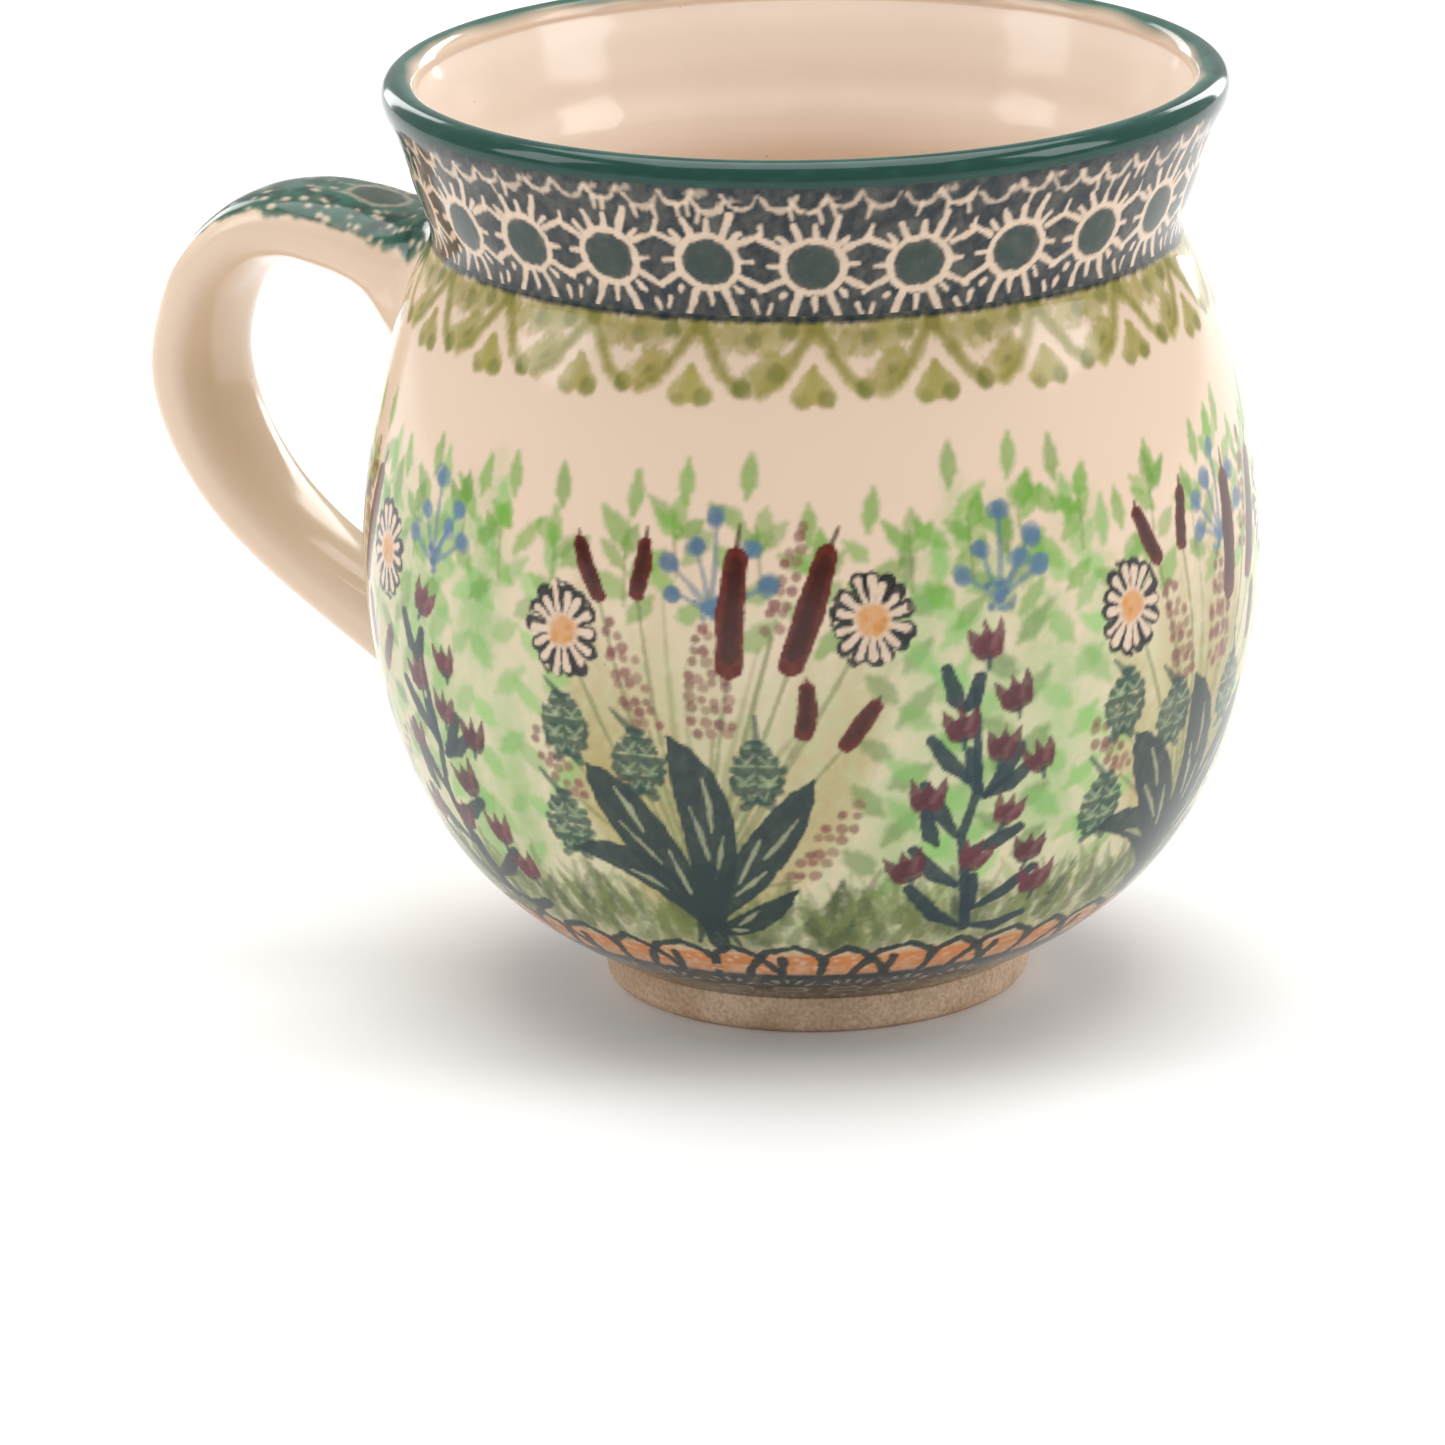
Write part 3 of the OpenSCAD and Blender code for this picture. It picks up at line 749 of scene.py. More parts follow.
def amber_cells(sheet, angle):
    """One unit of the chain: a round cell, a triangle and a wide cell, with dark arches between."""
    def at(x, z):
        return (angle + x, z)

    for x, z, w, h in ((0.0, 12.2, 3.2, 2.2), (4.2, 11.2, 1.6, 1.6), (11.0, 12.2, 3.4, 2.0), (14.4, 10.6, 1.3, 1.2)):
        sheet.stroke([at(x - w * 0.7, z), at(x + w * 0.7, z)], h, varied(AMBER, 0.08), 0.92, 0.2, 0.12)
        for _ in range(3):
            sheet.dot(at(x + hand.uniform(-1, 1) * w * 0.6, z + hand.uniform(-0.6, 0.6)), 0.6, GROUND, 0.5, 0.2)
    arches = (((-4.6, 10.0), (-3.4, 13.0), (0.0, 14.3), (3.2, 13.2), (4.2, 12.6)),
              ((4.2, 12.6), (5.4, 13.6), (10.5, 14.4), (14.2, 13.2), (15.2, 11.6)),
              ((4.2, 12.8), (2.2, 10.8), (1.4, 9.9)), ((4.2, 12.8), (6.0, 11.2), (7.2, 9.9)),
              ((7.2, 9.9), (7.9, 11.6), (8.0, 12.6)))
    for arch in arches:
        sheet.stroke([at(x, z) for x, z in arch], 1.05, varied(BORDER_TEAL, 0.1), 0.97, 0.15, 0.1, 0.02)


def foot_flower(sheet, angle):
    at = sheet.spot(angle, 6.6)
    sheet.stroke([at(-0.9, 0), at(0.9, 0)], 1.9, PETAL_PALE, 0.7, 0.2)
    sheet.stroke([at(-0.8, 0), at(0.8, 0)], 1.3, varied(SUN_GREEN, 0.1), 0.9, 0.2)
    for x, y in ((-2.2, 1.3), (-1.2, 1.9), (0, 2.1), (1.2, 1.9), (2.2, 1.3), (-2.0, -1.1), (2.0, -1.1), (0, -1.6)):
        sheet.stroke([at(x * 0.75, y * 0.75), at(x, y)], [0.35, 0.55], varied(PETAL_PALE, 0.1), 0.75, 0.18)


belly.wash(BORDER_LOW, BORDER_TOP, 0.5, 1.2, AMBER, 0.75, 0.2)
for k in range(BORDER_UNITS):
    amber_cells(belly, FIRST_CELL + k * 360 / BORDER_UNITS)
belly.wash(3.0, BORDER_LOW + 0.6, 0.2, 0.5, CELL_TEAL, 0.97, 0.1)
for k in range(OVALS):
    foot_flower(belly, FIRST_OVAL + k * 360 / OVALS)
belly.wash(3.0, 5.0, 0.2, 0.4, GREEN_BLACK, 0.95, 0.0)
print(BORDER_UNITS, "amber units and", OVALS, "foot ovals")

# %% [markdown]
# ## From sheet to glazed wall
# A turned piece is a closed section spun round the axis. Spin it as quads in one array: it is quicker
# than a modifier, and the painted colours land on their own points. No thrown pot is truly round, so
# every turned piece shares one wobble of under a tenth of a millimetre. The shading normals are worked
# out from the same smooth surface, so that a highlight crosses from piece to piece without a break.

# %% Turn closed pieces
AXIS_TURN = np.degrees(CAMERA_AZIMUTH)  # the painting's zero angle faces the camera


def wobble(turn, height):
    """How far the clay stands out of true, in mm."""
    return 0.05 * np.sin(2 * turn + 1.0) + 0.035 * np.sin(3 * turn + height / 15) + 0.02 * np.sin(5 * turn - height / 7)


def wall_point(angle, height, radius):
    """A point in mm on a turned surface, from the painting's angle in degrees, a height and a radius."""
    turn = np.radians(angle + AXIS_TURN)
    r = radius + wobble(turn, height) * np.clip(radius / 20, 0, 1)
    return np.stack([r * np.sin(turn), -r * np.cos(turn), height + 0 * turn], axis=-1)


def mesh_from_grid(name, points, normals, colours=None, close_rows=True, caps=()):
    """A piece from a grid of points (rows, columns, 3) in mm, closed round its columns."""
    rows, columns = points.shape[:2]
    index = np.arange(rows * columns).reshape(rows, columns)
    above = np.roll(index, -1, axis=0) if close_rows else index[1:]
    here = index if close_rows else index[:-1]
    quads = np.stack([here, np.roll(here, -1, 1), np.roll(above, -1, 1), above], axis=-1).reshape(-1, 4)
    verts, shade = points.reshape(-1, 3), normals.reshape(-1, 3)
    corners, starts = [quads.reshape(-1)], [np.arange(len(quads)) * 4]
    used = quads.size
    for row, centre, facing in caps:  # a fan from one row of points to a centre
        tip = len(verts)
        verts, shade = np.vstack([verts, centre]), np.vstack([shade, facing])
        ring, after = index[row], np.roll(index[row], -1)
        fan = np.stack([ring, after, np.full(columns, tip)] if row else [after, ring, np.full(columns, tip)], axis=-1)
        corners.append(fan.reshape(-1))
        starts.append(used + np.arange(columns) * 3)
        used += fan.size
    mesh = bpy.data.meshes.new(name)
    mesh.vertices.add(len(verts))
    mesh.vertices.foreach_set("co", (verts * MM).reshape(-1).astype(np.float32))
    mesh.loops.add(used)
    mesh.loops.foreach_set("vertex_index", np.concatenate(corners).astype(np.int32))
    starts = np.concatenate(starts).astype(np.int32)
    mesh.polygons.add(len(starts))
    mesh.polygons.foreach_set("loop_start", starts)
    mesh.update(calc_edges=True)
    mesh.shade_smooth()
    if colours is not None:
        layer = mesh.color_attributes.new("underglaze", "FLOAT_COLOR", "POINT")
        flat = np.ones((len(verts), 4), np.float32)
        flat[:, :3] = GROUND
        flat[:rows * columns, :3] = colours.reshape(-1, 3)
        layer.data.foreach_set("color", flat.reshape(-1))
    mesh.normals_split_custom_set_from_vertices(shade.tolist())
    piece = bpy.data.objects.new(name, mesh)
    bpy.context.scene.collection.objects.link(piece)
    print(f"{name}: {len(verts)} points, {len(starts)} faces")
    return piece


def turned(name, section, columns, front_colours=None, front_way=None, front_at=0, to_axis=False):
    """Spins a section of (height, radius) in mm, closed on itself or at the axis. Its first rows may be painted, and
    the rows from front_at may be told which way their surface runs."""
    section = np.array(section, float)
    angles = np.arange(columns) * 360 / columns
    way = np.gradient(section, axis=0) if to_axis else np.roll(section, -1, 0) - np.roll(section, 1, 0)
    if front_way is not None:
        way[front_at:front_at + len(front_way)] = front_way
    way /= np.linalg.norm(way, axis=1)[:, None] + 1e-12
    grid = np.stack([wall_point(angles, h, r) for h, r in section])
    turn = np.radians(angles + AXIS_TURN)
    lean = (wobble(turn + 0.02, section[:, :1]) - wobble(turn - 0.02, section[:, :1])) / (0.04 * np.maximum(
        section[:, 1:], 5.0))
    out = np.stack([np.sin(turn), -np.cos(turn)], axis=-1)
    around = np.stack([np.cos(turn), np.sin(turn)], axis=-1)
    flat = way[:, None, :1] * (out[None] - lean[..., None] * around[None])
    normals = np.concatenate([flat, np.broadcast_to(-way[:, None, 1:], (len(section), columns, 1))], axis=-1)
    normals /= np.linalg.norm(normals, axis=-1, keepdims=True)
    colours = None
    if front_colours is not None:
        colours = np.tile(GROUND, (len(section), columns, 1))
        colours[:len(front_colours)] = front_colours
    caps = [(row, (0, 0, section[row, 0]), (0, 0, -np.sign(way[row, 1]))) for row in (0, -1)] if to_axis else ()
    return mesh_from_grid(name, grid, normals, colours, not to_axis, caps)


def outline_direction(run):
    """The way the outline climbs at a run, as (height, radius)."""
    return np.stack([np.interp(run + 0.05, outline_run, outline[:, c], right=np.nan)
                     - np.interp(run - 0.05, outline_run, outline[:, c], left=np.nan) for c in (0, 1)], axis=-1)


def along_outline(run):
    return np.stack([np.interp(run, outline_run, outline[:, c]) for c in (0, 1)], axis=-1)


def coat_back(run_low, run_high, rows, depth):
    """The back of a coat, set in by its depth, from its top edge down to its lower edge."""
    runs = np.clip(np.linspace(run_high, run_low, rows), 0.06, outline_run[-1] - 0.06)
    way = outline_direction(runs)
    way /= np.linalg.norm(way, axis=1)[:, None]
    return along_outline(runs) + depth * np.stack([way[:, 1], -way[:, 0]], axis=-1)


BACK_ROWS = 26


def painted_coat(name, sheet):
    front = np.stack([sheet.heights, sheet.radii], axis=-1)
    back = coat_back(sheet.runs[0], sheet.runs[-1], BACK_ROWS, GLAZE - 0.02)
    way = outline_direction(np.clip(sheet.runs, 0.06, outline_run[-1] - 0.06))
    piece = turned(name, np.vstack([front, back]), sheet.columns, sheet.colour, way)
    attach(piece, "root")
    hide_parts("outer_glaze")
    return piece


painted_belly = painted_coat("painted_belly", belly)
stamped_neck = painted_coat("stamped_neck", neck)

# %% [markdown]
# ## Lip, liner and foot
# The lip was dipped in a dark green glaze that rolls over the edge and thins out inside. The liner is
# clear glaze over the cream slip, with faint rings from the potter's rib. The foot was wiped bare, so
# that it would not stick to the kiln shelf, and shows tan stoneware.

# %% The lip glaze
LIP_COLUMNS, LIP_ARC_ROWS, LIP_BAND_ROWS, LIP_INSIDE_MM = 540, 32, 14, 1.6
LIP_GREEN, LIP_THIN = linear("#17423a"), linear("#3f6e5c")

lip_band_run = np.linspace(run_at(LIP_BAND_Z), outline_run[-1], LIP_BAND_ROWS)
lip_turn = np.linspace(0, np.pi, LIP_ARC_ROWS)[1:]
lip_arc = np.stack([LIP_Z + LIP_R * np.sin(lip_turn), RIM_R - LIP_R + LIP_R * np.cos(lip_turn)], axis=-1)


def inner_wall(run):
    """The inside of the pot: the outline set in by the wall."""
    way = outline_direction(np.clip(run, 0.06, outline_run[-1] - 0.06))
    way /= np.linalg.norm(way, axis=1)[:, None]
    return along_outline(run) + WALL * np.stack([way[:, 1], -way[:, 0]], axis=-1)


lip_inside = inner_wall(np.linspace(outline_run[-1] - 0.1, outline_run[-1] - LIP_INSIDE_MM, 8))
lip_front = np.vstack([along_outline(lip_band_run), lip_arc, lip_inside])
lip_back = np.vstack([[lip_inside[-1] + (0, 0.3)], [(LIP_Z - 0.5, RIM_R - 2 * LIP_R + GLAZE)],
                      np.stack([LIP_Z + (LIP_R - GLAZE) * np.sin(lip_turn[::-1]),
                                RIM_R - LIP_R + (LIP_R - GLAZE) * np.cos(lip_turn[::-1])], axis=-1),
                      coat_back(run_at(LIP_BAND_Z), outline_run[-1] - 0.3, 8, GLAZE - 0.02)])
lip_way = np.gradient(lip_front, axis=0)
lip_run = np.concatenate([[0], np.cumsum(np.linalg.norm(np.diff(lip_front, axis=0), axis=1))])
lip_cloud = cloudy((len(lip_front), LIP_COLUMNS), 0.39, 1.5, 71)
lip_thin_at = lip_run[-1] - LIP_INSIDE_MM - 1.0 + 0.25 * cloudy((1, LIP_COLUMNS), 0.39, 5.0, 72)
lip_fade = np.clip((lip_run[:, None] - lip_thin_at) / 1.5, 0, 1)[..., None]
lip_tone = LIP_GREEN + (LIP_THIN - LIP_GREEN) * np.clip(
    0.08 * lip_cloud + 0.55 * np.exp(-((lip_run[:, None] - lip_thin_at) / 0.9) ** 2), 0, 1)[..., None]
lip_roll = turned("lip_glaze_roll", np.vstack([lip_front, lip_back]), LIP_COLUMNS,
                  lip_tone + (GROUND - lip_tone) * lip_fade, lip_way)
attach(lip_roll, "root")
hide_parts("lip_glaze")

# %% The liner
LINER_COLUMNS, FLOOR_Z, DISH_START_Z = 360, 8.6, 16.5
RIB_RING_MM, RIB_DEPTH_MM = 5.2, 0.045  # spacing and height of the rings that the rib left

wall_runs = np.linspace(outline_run[-1] - LIP_INSIDE_MM, run_at(24.0), 150)
inside_wall = inner_wall(wall_runs)
dish_start = inner_wall(np.array([run_at(DISH_START_Z)]))[0]
dish_turns = np.radians([32, 50, 68])
dish_knots = [(FLOOR_Z + (dish_start[0] - FLOOR_Z) * (1 - np.sin(a)), dish_start[1] * np.cos(a)) for a in dish_turns]
inside_knots = np.vstack([inner_wall(np.array([run_at(30.0), run_at(27.0), run_at(24.0)])), dish_knots, [(FLOOR_Z, 0.0)]])
dish = spline_through(inside_knots, end_direction=(0.0, -1.0), samples=900)
dish_from = int(np.argmin(np.abs(dish[:, 0] - inside_wall[-1, 0]))) + 3
liner_front = np.vstack([inside_wall, dish[dish_from:-8:6]])
liner_run = np.concatenate([[0], np.cumsum(np.linalg.norm(np.diff(liner_front, axis=0), axis=1))])
rib_rings = RIB_DEPTH_MM * np.sin(2 * np.pi * liner_run / RIB_RING_MM) * np.clip(liner_run / 12, 0, 1)
liner_way = np.gradient(liner_front, axis=0)
liner_way /= np.linalg.norm(liner_way, axis=1)[:, None]
liner_out = np.stack([-liner_way[:, 1], liner_way[:, 0]], axis=-1)
liner_front = liner_front + rib_rings[:, None] * liner_out
liner_back = (liner_front - GLAZE * liner_out)[::-6]
liner_shell = turned("liner_glaze_coat", np.vstack([liner_back, liner_front]), LINER_COLUMNS,
                     front_way=np.gradient(liner_front, axis=0), front_at=len(liner_back), to_axis=True)
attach(liner_shell, "root")
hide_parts("liner_glaze")

# %% The bare foot ring
FOOT_COLUMNS, FOOT_R, HOLLOW_R, FOOT_BEVEL = 480, 22.8, 18.5, 0.8
TURNING_LINE_MM, TURNING_DEPTH_MM = 0.62, 0.03  # grooves left by the turning tool


def foot_section():
    corners = [(FOOT_BEVEL, HOLLOW_R), (0.0, HOLLOW_R + FOOT_BEVEL), (0.0, FOOT_R - FOOT_BEVEL), (FOOT_BEVEL, FOOT_R),
               (FOOT_H, FOOT_TOP_R), (FOOT_H, HOLLOW_R)]
    line = []
    for (h0, r0), (h1, r1) in zip(corners, corners[1:] + corners[:1], strict=True):
        count = max(int(np.hypot(h1 - h0, r1 - r0) / 0.2), 2)
        for t in np.arange(count) / count:
            line.append((h0 + (h1 - h0) * t, r0 + (r1 - r0) * t))
    line = np.array(line)
    for _ in range(3):  # a wet sponge rounded the corners
        line = 0.5 * line + 0.25 * (np.roll(line, 1, 0) + np.roll(line, -1, 0))
    side = (line[:, 1] > FOOT_R - 0.3) & (line[:, 0] > FOOT_BEVEL)
    line[:, 1] -= side * TURNING_DEPTH_MM * (1 + np.sin(2 * np.pi * line[:, 0] / TURNING_LINE_MM))
    line[:, 0] -= line[:, 0].min()
    return line


foot_piece = turned("turned_foot_ring", foot_section(), FOOT_COLUMNS)
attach(foot_piece, "root")
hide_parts("foot_ring")

# %% The glazed underside
UNDER_COLUMNS, UNDER_RISE_MM = 360, 0.35  # the floor is a little domed inside the foot

under_r = np.linspace(0.4, HOLLOW_R + 0.2, 46)
under_dome = FOOT_H - GLAZE + UNDER_RISE_MM * (np.cos(np.pi * under_r / (2 * HOLLOW_R)) - 1) * 0.5
under_dome += 0.02 * np.sin(2 * np.pi * under_r / 1.9)
under_front = np.stack([under_dome, under_r], axis=-1)
under_back = np.stack([np.full(12, FOOT_H + 0.02), np.linspace(HOLLOW_R + 0.2, 0.4, 12)], axis=-1)
underside = turned("underside_glaze", np.vstack([under_front, under_back]), UNDER_COLUMNS, to_axis=True)
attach(underside, "root")
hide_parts("base_glaze")

# %% [markdown]
# ## The strap handle
# The potter pulled a strap from a lump of wet clay, stuck it on below the neck, bowed it and pressed its
# end onto the belly. Slip and glaze fill the joints with a small hollow curve. A swept curve object
# would keep one section, but a pulled strap swells at its roots, so rings are placed along the middle
# line, and each line of points is then cut where it meets the wall.

# %% Sweep the strap
STRAP_THICK, STRAP_WIDE, STRAP_SQUARE = 7.2, 15.6, 2.5
STRAP_REACH = -strap_low[0] - GLAZE / 4 - STRAP_THICK / 2
STRAP_LINE = [  # distance from the axis, height share, thickness share, width share
    (0.80 * NECK_R, 0.74, 2.10, 1.25), (1.00 * NECK_R, 0.745, 1.80, 1.20)] + [
    (STRAP_REACH * share, *rest) for share, *rest in (
        (0.62, 0.75, 1.50, 1.12), (0.685, 0.7645, 1.16, 1.07), (0.74, 0.7745, 1.08, 1.04), (0.815, 0.78, 0.98, 1.02),
        (0.89, 0.766, 0.95, 1.02), (0.955, 0.72, 0.95, 1.01), (0.99, 0.66, 0.92, 1.00), (1.00, 0.60, 0.92, 1.00),
        (0.975, 0.533, 0.90, 0.96), (0.918, 0.467, 0.88, 0.90), (0.838, 0.412, 0.88, 0.84), (0.748, 0.368, 0.95, 0.82),
        (0.66, 0.332, 1.10, 0.85), (0.587, 0.304, 1.25, 0.90), (0.52, 0.28, 1.35, 0.94), (0.44, 0.255, 1.35, 0.94))]
STRAP_COLUMNS, STRAP_ROWS, STRAP_FINE = 144, 440, 1400
ROOT_FILLET_MM, ROOT_FILLET_REACH_MM, ROOT_SINK_MM = 1.1, 2.8, 0.25
UNDER_FILLET_MM, UNDER_REACH_MM = 5.2, 9.5  # below the upper root the clay is smeared further out

knots = np.array(STRAP_LINE) * (1, HEIGHT, STRAP_THICK / 2, STRAP_WIDE / 2)


def through_each(knots, t):
    """The solid's own curve: at each whole t it is on a knot, heading from the last knot to the next."""
    last = len(knots) - 1
    i = np.minimum(np.floor(t).astype(int), last - 1)
    u = (t - i)[:, None]
    p0, p1, p2, p3 = (knots[np.clip(i + k, 0, last)] for k in (-1, 0, 1, 2))
    return (2 * p1 + (p2 - p0) * u + (2 * p0 - 5 * p1 + 4 * p2 - p3) * u**2 + (3 * p1 - p0 - 3 * p2 + p3) * u**3) / 2


strap_t = np.linspace(0, len(knots) - 1, STRAP_FINE)
strap = through_each(knots, strap_t)
strap_way = (through_each(knots, np.minimum(strap_t + 0.1, len(knots) - 1))
             - through_each(knots, np.maximum(strap_t - 0.1, 0)))[:, :2]
strap_way /= np.linalg.norm(strap_way, axis=1)[:, None]
strap_run = np.concatenate([[0], np.cumsum(np.linalg.norm(np.diff(strap[:, :2], axis=0), axis=1))])
round_turn = np.arange(STRAP_COLUMNS) * 2 * np.pi / STRAP_COLUMNS


def squared(wave):
    """A sine or cosine pushed towards the corners of a soft rectangle."""
    return np.sign(wave) * np.abs(wave) ** (2 / STRAP_SQUARE)


def strap_surface(grow):
    """Points (along, around, 3) in mm, grown outward by an amount for every point."""
    up = (strap[:, 2:3] + GLAZE + grow) * squared(np.cos(round_turn))
    across = (strap[:, 3:4] + GLAZE + grow) * squared(np.sin(round_turn))
    across = across + 0.12 * np.sin(strap_run / 9.0)[:, None]
    return np.stack([-(strap[:, 0:1] - strap_way[:, 1:2] * up), across, strap[:, 1:2] + strap_way[:, 0:1] * up], axis=-1)


def clear_of_wall(points):
    """How far points stand out from the pot's glazed wall, in mm."""
    return np.hypot(points[..., 0], points[..., 1]) - wall_radius(points[..., 2])


stand_out = np.clip(clear_of_wall(strap_surface(0.0)), -1.0, UNDER_REACH_MM)
below = np.clip(-np.cos(round_turn), 0, 1)[None, :] * (strap_t < len(knots) / 2)[:, None]
swell_reach = ROOT_FILLET_REACH_MM + below * (UNDER_REACH_MM - ROOT_FILLET_REACH_MM)
swell = ROOT_FILLET_MM + below * (UNDER_FILLET_MM - ROOT_FILLET_MM)
swept = strap_surface(swell * np.clip(1 - stand_out / swell_reach, 0, 1.2) ** 2)
sunk = clear_of_wall(swept) < -ROOT_SINK_MM
middle_row = STRAP_FINE // 2
first_out = middle_row - np.argmax(sunk[:middle_row][::-1], axis=0)
last_out = middle_row - 1 + np.argmax(sunk[middle_row:], axis=0)
share = np.linspace(0, 1, STRAP_ROWS)[:, None]
row_at = first_out + (last_out - first_out) * share
row_low = np.floor(row_at).astype(int)
part = (row_at - row_low)[..., None]
column = np.arange(STRAP_COLUMNS)[None, :]
strap_points = swept[row_low, column] * (1 - part) + swept[np.minimum(row_low + 1, STRAP_FINE - 1), column] * part
across_way = np.roll(strap_points, -1, 1) - np.roll(strap_points, 1, 1)
strap_normals = np.cross(across_way, np.gradient(strap_points, axis=0))
strap_normals /= np.linalg.norm(strap_normals, axis=-1, keepdims=True) + 1e-12
print(f"strap leaves the wall {strap_run[first_out].min():.1f} mm and meets it {strap_run[last_out].max():.1f} mm along")

# %% [markdown]
# The outer face of the upper strap carries a sponge print: dark teal and green with small gaps of bare
# slip, and one green disc near the root. It ends raggedly at the outer bend. It's painted on a sheet of
# its own and then read off at each point of the strap.

# %% Stamp the strap
STRAP_GIRTH_MM = 42.0
PRINT_START_MM, PRINT_END_MM, PRINT_HALF_MM, PRINT_ROOT_MM = 4.0, 48.0, 7.0, 0.8
STRAP_DISC_MM = 21.0
STRAP_GREEN = linear("#2f5c4c")

strap_sheet_runs = np.arange(0, strap_run[-1], POINT_MM)
strap_sheet = Sheet(int(STRAP_GIRTH_MM / POINT_MM), strap_sheet_runs,
                    np.full(len(strap_sheet_runs), STRAP_GIRTH_MM / (2 * np.pi)), strap_sheet_runs, 51)


def print_strap(sheet):
    def at(x, run):
        return sheet.spot(0.0, run)(x, 0.0)

    def half_at(run):
        fade = np.clip((PRINT_END_MM - run) / 16, 0.0, 1.0)
        return PRINT_HALF_MM * (0.6 + 0.4 * fade) + PRINT_ROOT_MM * np.clip((26 - run) / 14, 0, 1), fade

    for run in np.arange(PRINT_START_MM, PRINT_END_MM, 1.0):
        half, fade = half_at(run)
        for x in np.arange(-half, half + 0.1, 1.5):
            if hand.uniform() < 0.35 + 0.75 * fade:
                tone = STRAP_GREEN if hand.uniform() < 0.65 else SUN_GREEN
                sheet.stroke([at(x + hand.uniform(-0.5, 0.5), run), at(x + hand.uniform(-0.8, 0.8), run + 1.2)],
                             hand.uniform(1.3, 2.2), varied(tone, 0.2), 0.88, 0.3, 0.15)
    for run in np.arange(PRINT_START_MM + 1, PRINT_END_MM - 2, 1.6):
        half, fade = half_at(run)
        for x in np.arange(-half, half + 0.1, 1.9):
            place = (x + hand.uniform(-0.7, 0.7), run + hand.uniform(-0.7, 0.7))
            if abs(place[1] - STRAP_DISC_MM) < 4.2 and abs(place[0]) < 3.8:
                continue
            edge = abs(place[0]) > 0.55 * half
            if hand.uniform() < (0.8 if edge else 0.4):
                sheet.dot(at(*place), hand.uniform(0.4, 0.85), GROUND, 0.8 if edge else 0.55, 0.2, 0.1)
    for centre in (STRAP_DISC_MM, STRAP_DISC_MM + 17.0):
        sheet.dot(at(0, centre), 6.6, GROUND, 0.4, 0.35, 0.2)
        sheet.dot(at(0, centre), 5.4, varied(SUN_GREEN, 0.1), 0.92, 0.25, 0.12)


print_strap(strap_sheet)
point_run = np.interp(row_at, np.arange(STRAP_FINE), strap_run)
step_round = np.linalg.norm(np.roll(swept, -1, 1)[middle_row] - swept[middle_row], axis=-1)
round_mm = np.concatenate([[0], np.cumsum(step_round)])
round_share = (round_mm[:-1] / round_mm[-1])[None, :] + 0 * row_at
sheet_row = np.clip(point_run / POINT_MM, 0, len(strap_sheet_runs) - 1.001)
sheet_column = round_share * strap_sheet.columns


def read_sheet(sheet, row, col):
    r, c = np.floor(row).astype(int), np.floor(col).astype(int)
    fr, fc = (row - r)[..., None], (col - c)[..., None]
    c0, c1 = c % sheet.columns, (c + 1) % sheet.columns
    return ((sheet.colour[r, c0] * (1 - fc) + sheet.colour[r, c1] * fc) * (1 - fr)
            + (sheet.colour[r + 1, c0] * (1 - fc) + sheet.colour[r + 1, c1] * fc) * fr)


def root_cap(row):
    """A point inside the wall that closes the strap behind its joint."""
    centre = strap_points[row].mean(axis=0)
    level = np.array([centre[0], centre[1], 0.0])
    return centre - level / np.linalg.norm(level) * (clear_of_wall(centre) + 1.5)


strap_piece = mesh_from_grid("glazed_strap", strap_points, strap_normals, read_sheet(strap_sheet, sheet_row, sheet_column),
                             False, [(row, root_cap(row), (1, 0, 0)) for row in (0, -1)])
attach(strap_piece, "root")
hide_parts("handle_glaze", "handle")

# %% [markdown]
# ## Finishes
# The clear glaze is a thin glass: index of refraction near 1.5, almost mirror-smooth, with the slight
# orange-peel of a melt that cooled where it lay. Iron in the clay comes through as rare brown specks.
# One small function adds a node with its settings and its links.

# %% A node helper


def add_node(tree, kind, sockets=(), **settings):
    """Adds a node, sets its properties, and fills its sockets with values or links."""
    made = tree.nodes.new(kind)
    for key, value in settings.items():
        setattr(made, key, value)
    for name, value in dict(sockets).items():
        if isinstance(value, bpy.types.NodeSocket):
            tree.links.new(value, made.inputs[name])
        else:
            made.inputs[name].default_value = value
    return made


def new_finish(name):
    finish = bpy.data.materials.new(name)
    finish.use_nodes = True
    finish.node_tree.nodes.clear()
    return finish, finish.node_tree


def rgba(colour):
    return (*[float(c) for c in colour], 1.0)


def per_mm(size):
    """A texture scale, in cells a metre, for a pattern of this many millimetres."""
    return 1000.0 / size


# %% [markdown]
# Clear glaze over the painting. The eye sees three things: the painted colours, a few iron specks, and
# soft reflections of the room that ripple very slightly.

# %% Clear glaze over underglaze painting
SPECK_SPACING_MM, SPECK_SHARE, SPECK_SIZE = 3.2, 0.80, 0.05
IRON = linear("#6b4630")
PEEL_MM, PEEL_DEPTH_M = 3.0, 0.00002
GLAZE_IOR = 1.43


